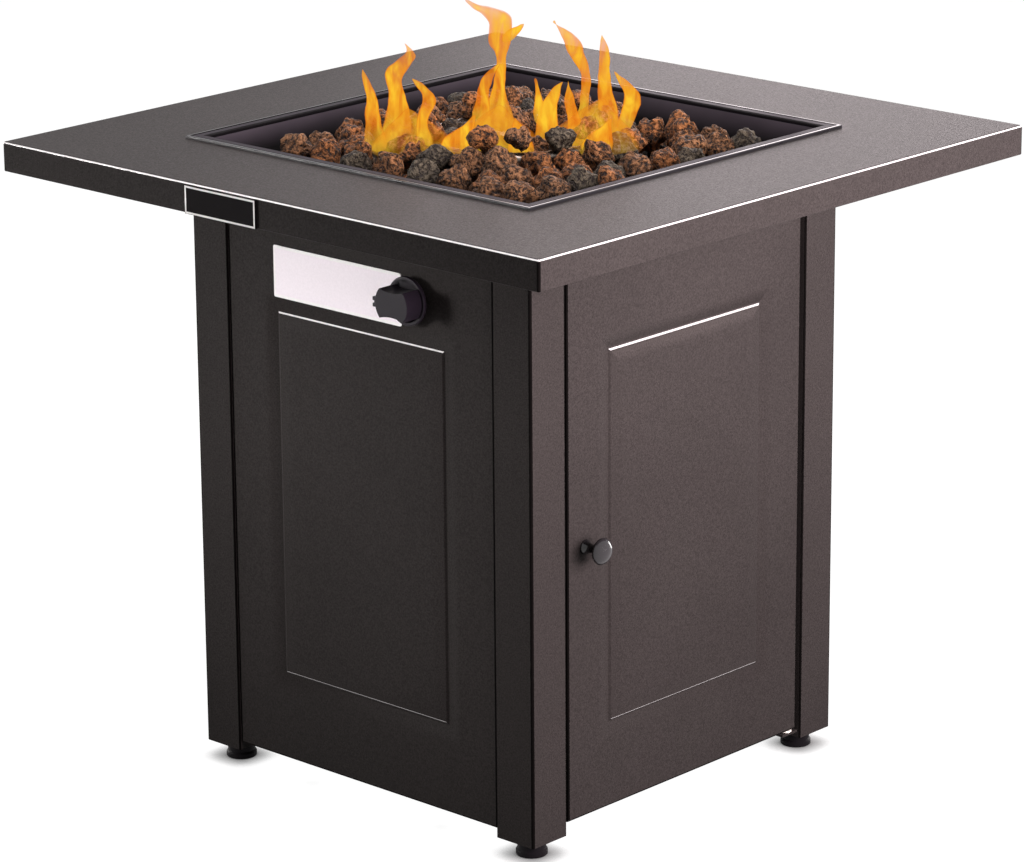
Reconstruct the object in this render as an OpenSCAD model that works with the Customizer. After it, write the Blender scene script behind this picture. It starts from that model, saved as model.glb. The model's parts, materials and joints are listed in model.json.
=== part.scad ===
// Gas fire pit table: a square sheet-steel table with a burner pan in its top and a cabinet under it.
// Millimetres. The origin is on the floor under the table's centre and +Z is up.
// The control panel faces -Y and the door faces +X.

/* [Tabletop] */
// Side of the square tabletop
table_w = 711; // [620:1:820]
// Height of the tabletop's upper face above the floor
table_h = 646; // [580:1:760]
// Height of the folded edge
fascia_h = 30; // [20:1:45]
// Thickness of the tabletop sheet
top_t = 1.5; // [1:0.1:2.2]
// Radius of the folds along the upper edges
top_r = 2.5; // [2.4:0.1:5]
// Width of the hem turned in under the folded edge
hem_w = 10; // [5:1:25]

/* [Top rails] */
// Leg of the angle rails under the tabletop
rail_leg = 22; // [18:1:28]
// Thickness of the angle rails
rail_t = 2; // [1.5:0.1:3]
// Drop of the rail bolts below the tabletop sheet
rail_bolt_drop = 13; // [11:0.5:14]

/* [Body] */
// Width of the square body over its corner posts
body_w = 451; // [420:1:520]
// Width of a post's leg
post_leg = 48; // [42:1:60]
// Thickness of the post sheet
post_t = 1.5; // [1:0.1:2.2]
// Radius of a post's outer corner
post_r = 2.5; // [2.4:0.1:5]
// Depth of the flanges folded in along a post's edges
return_d = 16; // [14:0.5:20]
// Thickness of the foot plate in a post's lower end
foot_plate_t = 2.5; // [2:0.1:4]
// Thickness of the panel and door sheet
panel_t = 1.2; // [0.8:0.1:2]
// Set-back of the panels behind the posts' faces
panel_recess = 2; // [0:0.5:4]
// Height of the panels' lower edge above the floor
panel_z = 25.5; // [23:0.5:40]
// Depth of the flanges along a panel's and the door's edges
panel_flange = 14; // [13:0.5:18]
// Depth of the flange along a panel's lower edge
sole_flange = 18; // [14:0.5:24]
// Room kept under the tabletop for the burner pan's wall
pan_room = 34; // [26:1:60]

/* [Pressed rectangle] */
// Width of the pressed rectangle at its crest line
crest_w = 224; // [160:1:260]
// Height of the rectangle's lower crest line above the floor
crest_z = 115; // [80:1:180]
// Drop of the rectangle's upper crest line below the tabletop
crest_drop = 156; // [152:1:220]
// Width of the outer slope
slope_w = 14; // [6:0.5:18]
// Depth of the outer slope
slope_d = 3; // [1:0.1:5]
// Width of the step at the crest line
step_w = 2.5; // [1:0.1:5]
// Rise of the step at the crest line
step_d = 1.8; // [0.5:0.1:2.4]
// Width of the inner slope up to the field
bevel_w = 14; // [5:0.5:30]

/* [Door] */
// Gap between the door and each post
door_gap = 4.5; // [4:0.1:7]
// Height of the door's lower edge above the floor
door_z = 29; // [28.5:0.1:34]
// Height of the fixed header over the door
header_h = 36; // [30:1:60]
// Gap between the door and the header's lip
door_head_gap = 3; // [2:0.1:5]
// Diameter of the pivot pins
pin_d = 6; // [5:0.5:7]
// Pivot axis from the door's hinge edge
pin_inset = 8; // [7:0.5:10]
// Pivot axis behind the door's face
pin_back = 6.5; // [6:0.5:7.5]
// Centre of the door knob from the door's free edge
pull_inset = 25; // [20:0.5:34]
// Diameter of the door knob's head
pull_d = 26.6; // [20:0.2:34]
// Length of the door knob
pull_l = 30; // [24:0.5:40]

/* [Feet and shelf] */
// Height of the feet
foot_h = 17.5; // [12:0.5:18]
// Diameter of a foot where it meets the floor
foot_d = 31; // [24:0.5:40]
// Centre of a foot from the post's outer faces
foot_inset = 24.5; // [21:0.5:28]
// Thickness of the base shelf
shelf_t = 1.5; // [1:0.1:2.5]
// Radius of the collar that takes the gas bottle's foot ring
bottle_r = 104; // [80:1:125]
// Depth of the collar
collar_d = 13; // [8:0.5:18]

/* [Burner pan] */
// Inset of the tabletop opening from the body's faces
opening_inset = 9.5; // [8:0.5:24]
// Gap between the pan's wall and the opening
pan_fit = 2; // [1:0.1:4]
// Overlap of the pan's rim on the tabletop
rim_lap = 12.5; // [6:0.5:30]
// Rise of the pan's rim over the tabletop
rim_rise = 3; // [2:0.1:5]
// Thickness of the pan sheet
pan_t = 1.2; // [0.8:0.1:2]
// Depth of the pan's floor below the tabletop's upper face
pan_depth = 58; // [54:1:72]
// How far the pan's wall leans in on its way down
pan_lean = 26; // [16:1:60]

/* [Burner] */
// Radius of the burner ring at the middle of its tube
ring_r = 86; // [74:1:125]
// Radius of the burner tube
tube_r = 8; // [7:0.2:10]
// Wall of the burner tube
tube_wall = 1.2; // [0.8:0.1:2]
// Drop of the tube's middle below the tabletop's upper face
ring_drop = 8; // [4:0.5:16]
// Number of gas ports in the ring
port_count = 28; // [12:1:48]
// Radius of the threaded stem under the burner
stem_r = 10; // [8:0.5:13]
// Side of the square heat shield
shield_w = 260; // [220:1:300]
// Distance of the heat shield under the pan
shield_drop = 42; // [36:0.5:50]

/* [Lava rocks] */
// Spacing of the rocks
rock_pitch = 34; // [30:0.5:42]
// Share of the upper places left without a rock
rock_share = 0.04; // [0:0.02:0.8]
// Side of the square heap of upper rocks
heap_w = 350; // [200:1:400]
// Shift of the heap towards the control panel and the door
heap_shift = 10; // [0:1:40]
// Radius of the rocks that lie on the burner
cap_r = 13; // [10:0.5:16]
// Seed for the rocks' shapes
rock_seed = 41; // [1:1:99]

/* [Gas control] */
// Knob axis from the table's centre plane
knob_x = 73; // [40:1:110]
// Drop of the knob axis below the tabletop
knob_drop = 112; // [108:1:116]
// Diameter of the knob's flange
knob_d = 48; // [40:0.5:56]
// Length of the knob from its flange to its front
knob_l = 20; // [18:0.5:26]
// Inward travel of the knob
knob_push = 4; // [3:0.1:5]
// Radius of the valve stem
spindle_r = 4; // [3.6:0.1:4.6]
// Radius of the valve plug
plug_r = 8; // [7.4:0.1:9]
// Radius of the threaded gas inlet
inlet_r = 7.9; // [6:0.1:9]
// Length of the threaded gas inlet
inlet_l = 14; // [8:0.5:20]

/* [Plates] */
// Width of the instruction plate
guide_w = 172; // [120:1:180]
// Height of the instruction plate
guide_h = 52; // [40:1:60]
// Thickness of the instruction plate
guide_t = 0.8; // [0.4:0.1:1.5]
// Width of the badge plate on the fascia
badge_w = 95; // [60:1:140]
// Thickness of the badge plate
badge_t = 2.5; // [1:0.1:4]
// Centre of the badge plate from the table's centre plane
badge_x = -46; // [-200:1:200]

/* [Hidden] */
$fn = 48;
// Clearances: running fits, loose holes, and pieces that only stand beside each other
run_fit = 0.08;
seat_fit = 0.05;
hole_fit = 0.4;
side_gap = 0.3;
// Fasteners: shank radius, head radius and height, nut radius and height
bolt_r = 2.4;
bolt_head_r = 4.5;
bolt_head_h = 2.6;
nut_r = 4.6;
nut_h = 4;
bolt_tail = 1;
// Levels and distances worked out from the sizes above
half = body_w / 2;
post_in = half - post_leg;
panel_y = half - panel_recess;
panel_in = panel_y - panel_t;
table_under = table_h - top_t;
flange_top = table_h - pan_room;
bolt_in = panel_flange - bolt_head_r - 1;
shelf_z = panel_z + panel_t;
door_half = post_in - door_gap;
lip_z = table_under - header_h;
door_top = lip_z - door_head_gap;
crest_top = table_h - crest_drop;
crest_mid = (crest_z + crest_top) / 2;
panel_top_gap = 2;
side_bolt_in = 55;
side_bolt_zs = [panel_z + side_bolt_in, crest_mid, flange_top - side_bolt_in];
pin_r = pin_d / 2;
hinge_y = door_half - pin_inset;
hinge_x = panel_y - pin_back;
bracket_t = 2.5;
bracket_back = 52;
bracket_side = 12;
washer_r = 6;
pan_half = half - opening_inset - pan_fit;
rim_half = half - opening_inset + rim_lap;
rim_top = table_h + rim_rise;
pan_floor = table_h - pan_depth;
wall_lean = pan_lean / (rim_rise + pan_depth);
wall_cos = 1 / sqrt(1 + wall_lean * wall_lean);
ring_z = table_h - ring_drop;
hub_r = stem_r + 5;
arm_r = tube_r - 1.5;
hub_top = ring_z + arm_r + 1;
stem_low = pan_floor - pan_t - 26;
lock_h = 6;
mixer_r = stem_r + 4;
mixer_grip = 12;
mixer_l = 46;
mixer_low = stem_low + mixer_grip - mixer_l;
elbow_w = 18;
elbow_h = 20;
shield_z = pan_floor - pan_t - shield_drop;
shield_t = 1;
standoff_r = 5;
standoff_in = 30;
standoff_at = shield_w / 2 - standoff_in;
spark_in = 12;
spark_at = ring_r - tube_r - spark_in;
spark_x = spark_at * 0.6;
spark_y = -spark_at * 0.8;
spark_r = 4;
spark_low = pan_floor - 20;
knob_z = table_h - knob_drop;
valve_plate_t = 2;
valve_front = -panel_t - valve_plate_t;
valve_l = 41;
valve_side = 16;
valve_top = 15;
neck_r = 10;
neck_proud = 0.8;
plug_front = -9.5;
plug_l = 30;
plug_back = plug_front - plug_l;
key_w = 5;
key_end = plug_front - 17;
spindle_back = plug_front + knob_push + 0.5;
knob_back = guide_t + knob_push + 0.5;
knob_flange_t = 4;
knob_front = knob_back + knob_flange_t + knob_l;
spindle_front = knob_front - 4;
spring_well = knob_back + 7;
port_z = plug_back + 4;
stud_at = 22;
stud_r = 2;
stud_l = 10;
fit_hex_r = 9.5;
fit_hex_h = 6;
fit_shank_r = 5;
fit_shank_l = 6;
tube_nut_r = 8;
tube_nut_l = 11;
gas_tube_r = 4;
piezo_r = 7;
piezo_l = 34;
lead_r = 1.5;
foot_at = half - foot_inset;
foot_stud_r = 4;
foot_nut_h = 6.5;
foot_nut_r = 7.4;
rock_r = (rock_pitch - side_gap) / 2;
rock_turn = 17;
layer_rise = rock_pitch * sqrt(2 / 3);
low_rock_z = pan_floor + side_gap + rock_r;
high_rock_z = low_rock_z + layer_rise;

// Turns a piece from the control side to another side: 0 control, 1 door, 2 rear, 3 left
module turned(side) rotate([0, 0, 90 * side]) children();

// Frame of one side: x along the face, y inward from the panel's outer face, z up
module on_side(side) turned(side) translate([0, -panel_y, 0]) children();

// Frame of the valve: x along the panel, y up, z outward from the panel's outer face
module at_valve() on_side(0) translate([knob_x, 0, knob_z]) rotate([90, 0, 0]) children();

// Bolt along +z with its head under z = 0
module bolt(grip, r = bolt_r, head_r = bolt_head_r, head_h = bolt_head_h) {
    translate([0, 0, -head_h]) cylinder(r = head_r, h = head_h);
    cylinder(r = r, h = grip);
}

module hex_nut(r = nut_r, h = nut_h, bore = bolt_r) difference() {
    cylinder(r = r, h = h, $fn = 6);
    translate([0, 0, -1]) cylinder(r = bore + seat_fit, h = h + 2);
}

module ring(outer, inner, h) difference() {
    cylinder(r = outer, h = h);
    translate([0, 0, -1]) cylinder(r = inner, h = h + 2);
}

// Upright block with round folds along its four upper edges
module folded_block(w, h, r) {
    module outline() {
        translate([-w / 2, 0]) square([w, h - r]);
        translate([r - w / 2, 0]) square([w - 2 * r, h]);
        for (s = [-1, 1]) translate([s * (w / 2 - r), h - r]) circle(r);
    }
    intersection() {
        rotate([90, 0, 0]) linear_extrude(w, center = true) outline();
        rotate([90, 0, 90]) linear_extrude(w, center = true) outline();
    }
}

// Sheet between two stacks of nested rectangles, upper and lower, listed from the rim inwards
function grown(r, g) = [r[0] - g, r[1] - g, r[2] + g, r[3] + g];
function centred(x, y) = [-x, -y, x, y];
function rect_ring(r, h) = [[r[0], r[1], h], [r[2], r[1], h], [r[2], r[3], h], [r[0], r[3], h]];
module stepped_sheet(upper, upper_h, lower, lower_h) {
    n = len(upper);
    function up(i, c) = 4 * i + c % 4;
    function low(i, c) = 4 * n + up(i, c);
    points = concat(
        [for (i = [0 : n - 1]) each rect_ring(upper[i], upper_h[i])],
        [for (i = [0 : n - 1]) each rect_ring(lower[i], lower_h[i])]);
    bands = [for (i = [0 : n - 2], c = [0 : 3]) each [
        [up(i + 1, c), up(i + 1, c + 1), up(i, c + 1)], [up(i + 1, c), up(i, c + 1), up(i, c)],
        [low(i + 1, c), low(i, c + 1), low(i + 1, c + 1)], [low(i + 1, c), low(i, c), low(i, c + 1)]]];
    middles = [[up(n - 1, 0), up(n - 1, 2), up(n - 1, 1)], [up(n - 1, 0), up(n - 1, 3), up(n - 1, 2)],
        [low(n - 1, 0), low(n - 1, 1), low(n - 1, 2)], [low(n - 1, 0), low(n - 1, 2), low(n - 1, 3)]];
    edges = [for (c = [0 : 3]) each [
        [up(0, c), up(0, c + 1), low(0, c + 1)], [up(0, c), low(0, c + 1), low(0, c)]]];
    polyhedron(points, concat(bands, middles, edges), convexity = 6);
}

// Sheet of a panel or door with the pressed rectangle, its outer face at y = 0
module pressed_sheet(half_w, low, high) {
    crest = [-crest_w / 2, crest_z, crest_w / 2, crest_top];
    rects = [[-half_w, low, half_w, high], grown(crest, slope_w), crest,
        grown(crest, -step_w), grown(crest, -step_w - bevel_w)];
    depths = [0, 0, -slope_d, step_d - slope_d, 0];
    rotate([90, 0, 0]) stepped_sheet(rects, depths, rects, [for (d = depths) d - panel_t]);
}

// Tube swept along points, its cross-section carried along without twisting
function unit(v) = v / norm(v);
function tangents(path) = let (last = len(path) - 1)
    [for (i = [0 : last]) unit(path[min(i + 1, last)] - path[max(i - 1, 0)])];
function carried(ts, n, i = 0) = i == len(ts) ? []
    : let (m = unit(n - (n * ts[i]) * ts[i])) concat([m], carried(ts, m, i + 1));
module swept_tube(path, r, sides, start) {
    ts = tangents(path);
    ns = carried(ts, start);
    last = len(path) - 1;
    function at(i, k) = i * sides + k % sides;
    points = [for (i = [0 : last], k = [0 : sides - 1]) let (a = 360 * k / sides)
        path[i] + r * (cos(a) * ns[i] + sin(a) * cross(ts[i], ns[i]))];
    walls = [for (i = [0 : last - 1], k = [0 : sides - 1]) each [
        [at(i, k), at(i + 1, k), at(i + 1, k + 1)], [at(i, k), at(i + 1, k + 1), at(i, k + 1)]]];
    caps = [for (k = [1 : sides - 2]) each [
        [at(0, 0), at(0, k), at(0, k + 1)], [at(last, 0), at(last, k + 1), at(last, k)]]];
    polyhedron(points, concat(walls, caps), convexity = 6);
}

// Tabletop: one folded sheet with a hem and a square opening
module tabletop() color("#4a4244") {
    difference() {
        translate([0, 0, table_h - fascia_h]) folded_block(table_w, fascia_h, top_r);
        translate([0, 0, table_h - 2 * fascia_h])
            folded_block(table_w - 2 * top_t, 2 * fascia_h - top_t, top_r - top_t);
        cube([2 * (half - opening_inset), 2 * (half - opening_inset), 3 * table_h], center = true);
    }
    translate([0, 0, table_h - fascia_h + top_t / 2]) difference() {
        cube([table_w - top_t, table_w - top_t, top_t], center = true);
        cube([table_w - 2 * (top_t + hem_w), table_w - 2 * (top_t + hem_w), 3 * top_t], center = true);
    }
}

module badge_plate() color("#151314")
    translate([badge_x - badge_w / 2, -table_w / 2 - badge_t, table_h - fascia_h])
        cube([badge_w, badge_t, fascia_h - top_r]);

// Angle rail round the body's top, one along each side
module rail(side) color("#2b2728") turned(side) difference() {
    translate([-half, -half, table_under]) {
        translate([0, -rail_t, -rail_leg]) cube([body_w, rail_t, rail_leg]);
        translate([0, -rail_leg, -rail_t]) cube([body_w, rail_leg, rail_t]);
    }
    for (s = [-1, 1]) rail_bolt_axis(s) translate([0, 0, -1])
        cylinder(r = bolt_r + hole_fit, h = rail_t + 2);
}
module rail_bolt_axis(s)
    translate([s * (half - post_leg / 2), -half - rail_t, table_under - rail_bolt_drop])
        rotate([-90, 0, 0]) children();

// Corner post: folded angle with flanges turned in and a foot plate
module corner_post(side) color("#3a3334") turned(side) difference() {
    translate([-half, -half, foot_h]) {
        linear_extrude(table_under - foot_h) {
            difference() {
                union() {
                    translate([post_r, 0]) square([post_leg - post_r, post_leg]);
                    translate([0, post_r]) square([post_leg, post_leg - post_r]);
                    translate([post_r, post_r]) circle(post_r);
                }
                translate([post_r, post_t]) square(post_leg);
                translate([post_t, post_r]) square(post_leg);
                translate([post_r, post_r]) circle(post_r - post_t);
            }
        }
        linear_extrude(flange_top - foot_h) {
            translate([post_leg - post_t, 0]) square([post_t, return_d]);
            translate([0, post_leg - post_t]) square([return_d, post_t]);
        }
        translate([post_t / 2, post_t / 2, 0])
            cube([post_leg - post_t, post_leg - post_t, foot_plate_t]);
    }
    translate([-foot_at, -foot_at, 0]) cylinder(r = foot_stud_r + hole_fit, h = table_h / 2);
    for (s = [0, 1]) rotate([0, 0, -90 * s]) mirror([s, 0, 0]) {
        rail_bolt_axis(-1) cylinder(r = bolt_r + hole_fit, h = rail_t + post_t + 2);
        for (z = side_bolt_zs) translate([-post_in, bolt_in - panel_y, z])
            rotate([0, -90, 0]) translate([0, 0, -1]) cylinder(r = bolt_r + hole_fit, h = post_t + 2);
    }
}

// Round foot with a stud through the post's foot plate
module foot(side) color("#141213") turned(side) translate([-foot_at, -foot_at, 0]) {
    rotate_extrude() polygon([[0, 0], [foot_d / 2 - 1, 0], [foot_d / 2, 1], [foot_d / 2, 5],
        [foot_d / 2 - 1.5, 7], [foot_d / 2 - 1.5, foot_h], [0, foot_h]]);
    cylinder(r = foot_stud_r, h = foot_h + foot_plate_t + foot_nut_h + bolt_tail);
}

module foot_nuts() color("#9a9a9a") for (side = [0 : 3]) turned(side)
    translate([-foot_at, -foot_at, foot_h + foot_plate_t])
        hex_nut(foot_nut_r, foot_nut_h, foot_stud_r);

// Fixed panel with side flanges and a flange along its lower edge
module fixed_panel(side) on_side(side) difference() {
    union() {
        pressed_sheet(post_in, panel_z, table_under - panel_top_gap);
        for (s = [-1, 1]) translate([s * (post_in - panel_t / 2) - panel_t / 2, 0, panel_z])
            cube([panel_t, panel_flange, flange_top - panel_z]);
        translate([-post_in, 0, panel_z]) cube([2 * post_in, sole_flange, panel_t]);
    }
    for (s = [-1, 1]) {
        for (z = side_bolt_zs) side_bolt_axis(s, z) translate([0, 0, -1])
            cylinder(r = bolt_r + hole_fit, h = panel_t + 2);
        shelf_bolt_axis(s) cylinder(r = bolt_r + hole_fit, h = 2 * (shelf_t + panel_t + 1));
    }
    children();
}
module side_bolt_axis(s, z)
    translate([s * (post_in - panel_t), bolt_in, z]) rotate([0, 90 * s, 0]) children();
module shelf_bolt_axis(s)
    translate([s * post_in / 2, sole_flange - bolt_head_r - 1, shelf_z + shelf_t])
        rotate([180, 0, 0]) children();

module control_panel() color("#332c2d") {
    fixed_panel(0) translate([knob_x, 0, knob_z]) rotate([90, 0, 0]) translate([0, 0, -panel_t - 1])
        cylinder(r = neck_r + hole_fit, h = panel_t + 2);
    at_valve() for (s = [-1, 1]) translate([s * stud_at, 0, -panel_t / 2 - stud_l])
        cylinder(r = stud_r, h = stud_l);
}
module rear_panel() color("#332c2d") fixed_panel(2);
module left_panel() color("#332c2d") fixed_panel(3);

// Header over the door: a strip under the tabletop with a lip for the upper pivot
module door_header() color("#332c2d") difference() {
    on_side(1) {
        translate([-post_in, 0, lip_z]) cube([2 * post_in, panel_t, header_h]);
        translate([-post_in, 0, lip_z]) cube([2 * post_in, panel_flange, panel_t]);
    }
    translate([hinge_x, hinge_y, lip_z - 1]) cylinder(r = pin_r + run_fit, h = panel_t + 2);
}

// Shelf on the panels' lower flanges, with a collar for the gas bottle and a lip behind the door
shelf_edge = hinge_x - norm([panel_flange - pin_back, pin_inset]) - 1.5;
lip_h = 16;
notch = 2 * (post_leg + panel_t + side_gap);
module base_shelf() color("#332c2d") difference() {
    union() {
        difference() {
            translate([-panel_in, -panel_in, shelf_z]) cube([panel_in + shelf_edge, 2 * panel_in, shelf_t]);
            for (x = [-1, 1], y = [-1, 1]) translate([x * half, y * half, shelf_z])
                cube([notch, notch, 4 * shelf_t], center = true);
        }
        translate([shelf_edge - shelf_t, -post_in + 1, shelf_z]) cube([shelf_t, 2 * post_in - 2, lip_h]);
        translate([0, 0, shelf_z - collar_d + shelf_t]) cylinder(r = bottle_r + shelf_t, h = collar_d);
    }
    translate([0, 0, shelf_z - collar_d]) cylinder(r = bottle_r, h = 3 * collar_d, $fn = 96);
    for (side = [0, 2, 3], s = [-1, 1]) on_side(side) shelf_bolt_axis(s)
        translate([0, 0, -1]) cylinder(r = bolt_r + hole_fit, h = shelf_t + 2);
    for (i = [0, 1]) bracket_bolt_axis(i) translate([0, 0, -1])
        cylinder(r = bolt_r + hole_fit, h = shelf_t + 2);
}

// Door: pressed sheet with flanges on its four edges
module door() color("#4c4445") difference() {
    on_side(1) {
        pressed_sheet(door_half, door_z, door_top);
        for (s = [-1, 1]) translate([s * (door_half - panel_t / 2) - panel_t / 2, 0, door_z])
            cube([panel_t, panel_flange, door_top - door_z]);
        for (z = [door_z, door_top - panel_t]) translate([-door_half, 0, z])
            cube([2 * door_half, panel_flange, panel_t]);
    }
    translate([hinge_x, hinge_y, 0]) cylinder(r = pin_r + seat_fit, h = table_h);
    pull_axis() translate([0, 0, -panel_t - 1]) cylinder(r = bolt_r + hole_fit, h = panel_t + 2);
}
module pull_axis() on_side(1)
    translate([pull_inset - door_half, 0, crest_mid]) rotate([90, 0, 0]) children();

// Door knob: flared base, waist and domed head
pull_base_r = 7.3;
pull_waist_r = 4.2;
pull_bore_l = 12;
module door_knob() color("#1a1718") pull_axis() difference() {
    rotate_extrude() {
        polygon([[0, 0], [pull_base_r, 0], [pull_base_r, 1.5], [pull_waist_r + 0.8, 5], [pull_waist_r, 9],
            [pull_waist_r + 0.6, 13], [pull_d / 2 - 2.5, pull_l - 11.5], [pull_d / 2 - 0.6, pull_l - 9.8],
            [pull_d / 2, pull_l - 7.5], [0, pull_l - 7.5]]);
        intersection() {
            translate([0, pull_l - 7.5]) square([pull_d / 2, 7.5]);
            translate([0, pull_l - pull_dome_r]) circle(pull_dome_r);
        }
    }
    translate([0, 0, -1]) cylinder(r = bolt_r + seat_fit, h = pull_bore_l + 1);
}
pull_dome_r = (pull_d * pull_d / 4 + 7.5 * 7.5) / 15;
module door_knob_screw() color("#9a9a9a") pull_axis() translate([0, 0, -panel_t])
    bolt(panel_t + pull_bore_l - 1);

// Pivot pins, riveted into the door's upper and lower flanges
pin_head_r = 4.6;
pin_head_h = 2;
pin_tail = 5;
module door_pin_upper() color("#a5a5a5") translate([hinge_x, hinge_y, door_top - panel_t])
    bolt(panel_t + door_head_gap + panel_t + pin_tail, pin_r, pin_head_r, pin_head_h);
module door_pin_lower() color("#a5a5a5") translate([hinge_x, hinge_y, door_z + panel_t]) rotate([180, 0, 0])
    bolt(door_z + panel_t - shelf_z + bracket_t + bolt_tail, pin_r, pin_head_r, pin_head_h);
module washer_upper() color("#e6e2da") translate([hinge_x, hinge_y, door_top])
    ring(washer_r, pin_r + seat_fit, door_head_gap - side_gap);
module washer_lower() color("#e6e2da") translate([hinge_x, hinge_y, shelf_z])
    ring(washer_r, pin_r + run_fit, door_z - shelf_z - side_gap);

// Lower pivot bracket, bolted under the shelf
module pivot_bracket() color("#2b2728") difference() {
    translate([hinge_x - bracket_back, hinge_y - bracket_side, shelf_z - bracket_t])
        cube([bracket_back + washer_r, 2 * bracket_side - 1, bracket_t]);
    translate([hinge_x, hinge_y, 0]) cylinder(r = pin_r + run_fit, h = table_h);
    for (i = [0, 1]) bracket_bolt_axis(i) translate([0, 0, shelf_t - 1])
        cylinder(r = bolt_r + hole_fit, h = bracket_t + 2);
}
module bracket_bolt_axis(i) translate([hinge_x - bracket_back + 10 + 20 * i, hinge_y, shelf_z + shelf_t])
    rotate([180, 0, 0]) children();

// Magnet catch on the post beside the door's free edge, and its strike plate on the door
catch_ear_t = 1.5;
catch_w = 24;
catch_l = 18;
catch_h = 28;
strike_w = 20;
strike_t = 1.2;
catch_head_h = 1.6;
module magnet_catch() color("#8a8a8a") on_side(1) difference() {
    translate([-post_in, 0, crest_mid - catch_h / 2]) {
        translate([0, 2, 0]) cube([catch_ear_t, panel_flange + catch_l - 2, catch_h]);
        translate([0, panel_flange + side_gap, 0]) cube([catch_w, catch_l - side_gap, catch_h]);
    }
    translate([-post_in - 1, bolt_in, crest_mid]) rotate([0, 90, 0])
        cylinder(r = bolt_r + hole_fit, h = catch_ear_t + 2);
}
module strike_plate() color("#b0b0b0") on_side(1)
translate([panel_t - door_half, 0, crest_mid - catch_h / 2]) {
    translate([0, panel_flange - strike_t, 0]) cube([strike_w, strike_t, catch_h]);
    translate([0, panel_t, 0]) cube([strike_t, panel_flange - panel_t, catch_h]);
}
module catch_bolt() color("#9a9a9a") on_side(1) translate([catch_ear_t - post_in, bolt_in, crest_mid])
    rotate([0, -90, 0]) bolt(catch_ear_t + post_t + nut_h + bolt_tail, bolt_r, bolt_head_r, catch_head_h);

// Burner pan: a rim on the tabletop, leaning walls and a floor
module burner_pan() color("#1d1b1c") difference() {
    union() {
        floor_half = pan_half - pan_t - pan_lean;
        stepped_sheet(
            [centred(rim_half, rim_half), centred(pan_half - pan_t, pan_half - pan_t),
                centred(floor_half, floor_half)],
            [rim_top, rim_top, pan_floor],
            [centred(rim_half, rim_half), centred(pan_half, pan_half),
                centred(floor_half + pan_t, floor_half + pan_t)],
            [rim_top - pan_t, rim_top - pan_t, pan_floor - pan_t]);
        translate([0, 0, table_h]) difference() {
            translate([-rim_half, -rim_half, 0]) cube([2 * rim_half, 2 * rim_half, rim_rise - pan_t / 2]);
            translate([pan_t - rim_half, pan_t - rim_half, -1])
                cube([2 * (rim_half - pan_t), 2 * (rim_half - pan_t), rim_rise + 2]);
        }
    }
    pan_hole(0, 0, stem_r + hole_fit);
    pan_hole(spark_x, spark_y, spark_r + hole_fit);
    for (x = [-1, 1], y = [-1, 1]) pan_hole(x * drain_at, y * drain_at, drain_r);
}
module pan_hole(x, y, r) translate([x, y, pan_floor - 2 * pan_t]) cylinder(r = r, h = 4 * pan_t);
drain_at = 120;
drain_r = 4;

// Burner ring: a hollow tube with gas ports, two arms and a hub on the pan's floor
port_r = 1.2;
module burner_ring() color("#c3c3c3") difference() {
    union() {
        translate([0, 0, ring_z]) {
            rotate_extrude() translate([ring_r, 0]) circle(tube_r);
            rotate([0, 90, 0]) cylinder(r = arm_r, h = 2 * ring_r, center = true);
        }
        translate([0, 0, pan_floor]) cylinder(r = hub_r, h = hub_top - pan_floor);
    }
    translate([0, 0, ring_z]) {
        rotate_extrude() translate([ring_r, 0]) circle(tube_r - tube_wall);
        rotate([0, 90, 0]) cylinder(r = arm_r - tube_wall, h = 2 * ring_r, center = true);
        for (i = [0 : port_count - 1]) rotate([0, 0, 360 * (i + 0.5) / port_count])
            translate([ring_r, 0, 0]) cylinder(r = port_r, h = tube_r + 1, $fn = 16);
    }
    translate([0, 0, pan_floor - 1]) cylinder(r = stem_r + seat_fit, h = ring_z + arm_r - pan_floor);
}
module burner_stem() color("#b8b8b8") translate([0, 0, stem_low])
    ring(stem_r, stem_r - 2.5, ring_z - arm_r - stem_low);
module burner_lock_nut() color("#c9a85a") translate([0, 0, pan_floor - pan_t - lock_h])
    hex_nut(stem_r + 7, lock_h, stem_r);

// Air mixer under the burner, open at four air holes
air_hole_r = 5;
air_hole_z = 16;
module air_mixer() color("#b9b9b9") translate([0, 0, mixer_low]) difference() {
    cylinder(r = mixer_r, h = mixer_l);
    translate([0, 0, 4]) cylinder(r = stem_r - 2.5, h = mixer_l);
    translate([0, 0, mixer_l - mixer_grip]) cylinder(r = stem_r + seat_fit, h = mixer_grip + 1);
    translate([0, 0, -1]) cylinder(r = gas_tube_r + seat_fit, h = 6);
    for (a = [0, 90]) rotate([0, 0, 45 + a]) translate([0, 0, air_hole_z]) rotate([0, 90, 0])
        cylinder(r = air_hole_r, h = 2 * mixer_r + 2, center = true);
}
// Brass orifice: an elbow under the mixer with its inlet towards the valve
jet_r = 0.8;
elbow_seat = 3;
elbow_z = mixer_low - elbow_h / 2;
module gas_orifice() color("#c9a24a") difference() {
    union() {
        translate([-elbow_w / 2, -elbow_w / 2, mixer_low - elbow_h]) cube([elbow_w, elbow_w, elbow_h]);
        translate([0, 0, mixer_low - 1]) cylinder(r = gas_tube_r, h = 9);
        translate([0, -elbow_w / 2, elbow_z]) rotate([90, 0, 0]) cylinder(r = tube_nut_r, h = 9, $fn = 6);
    }
    translate([0, 0, elbow_z]) cylinder(r = jet_r, h = elbow_h + 9);
    translate([0, 0, elbow_z]) rotate([90, 0, 0]) cylinder(r = 2.5, h = elbow_w);
    translate([0, -elbow_w / 2 - elbow_seat, elbow_z]) rotate([90, 0, 0]) cylinder(r = gas_tube_r + hole_fit, h = 7);
}

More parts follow.
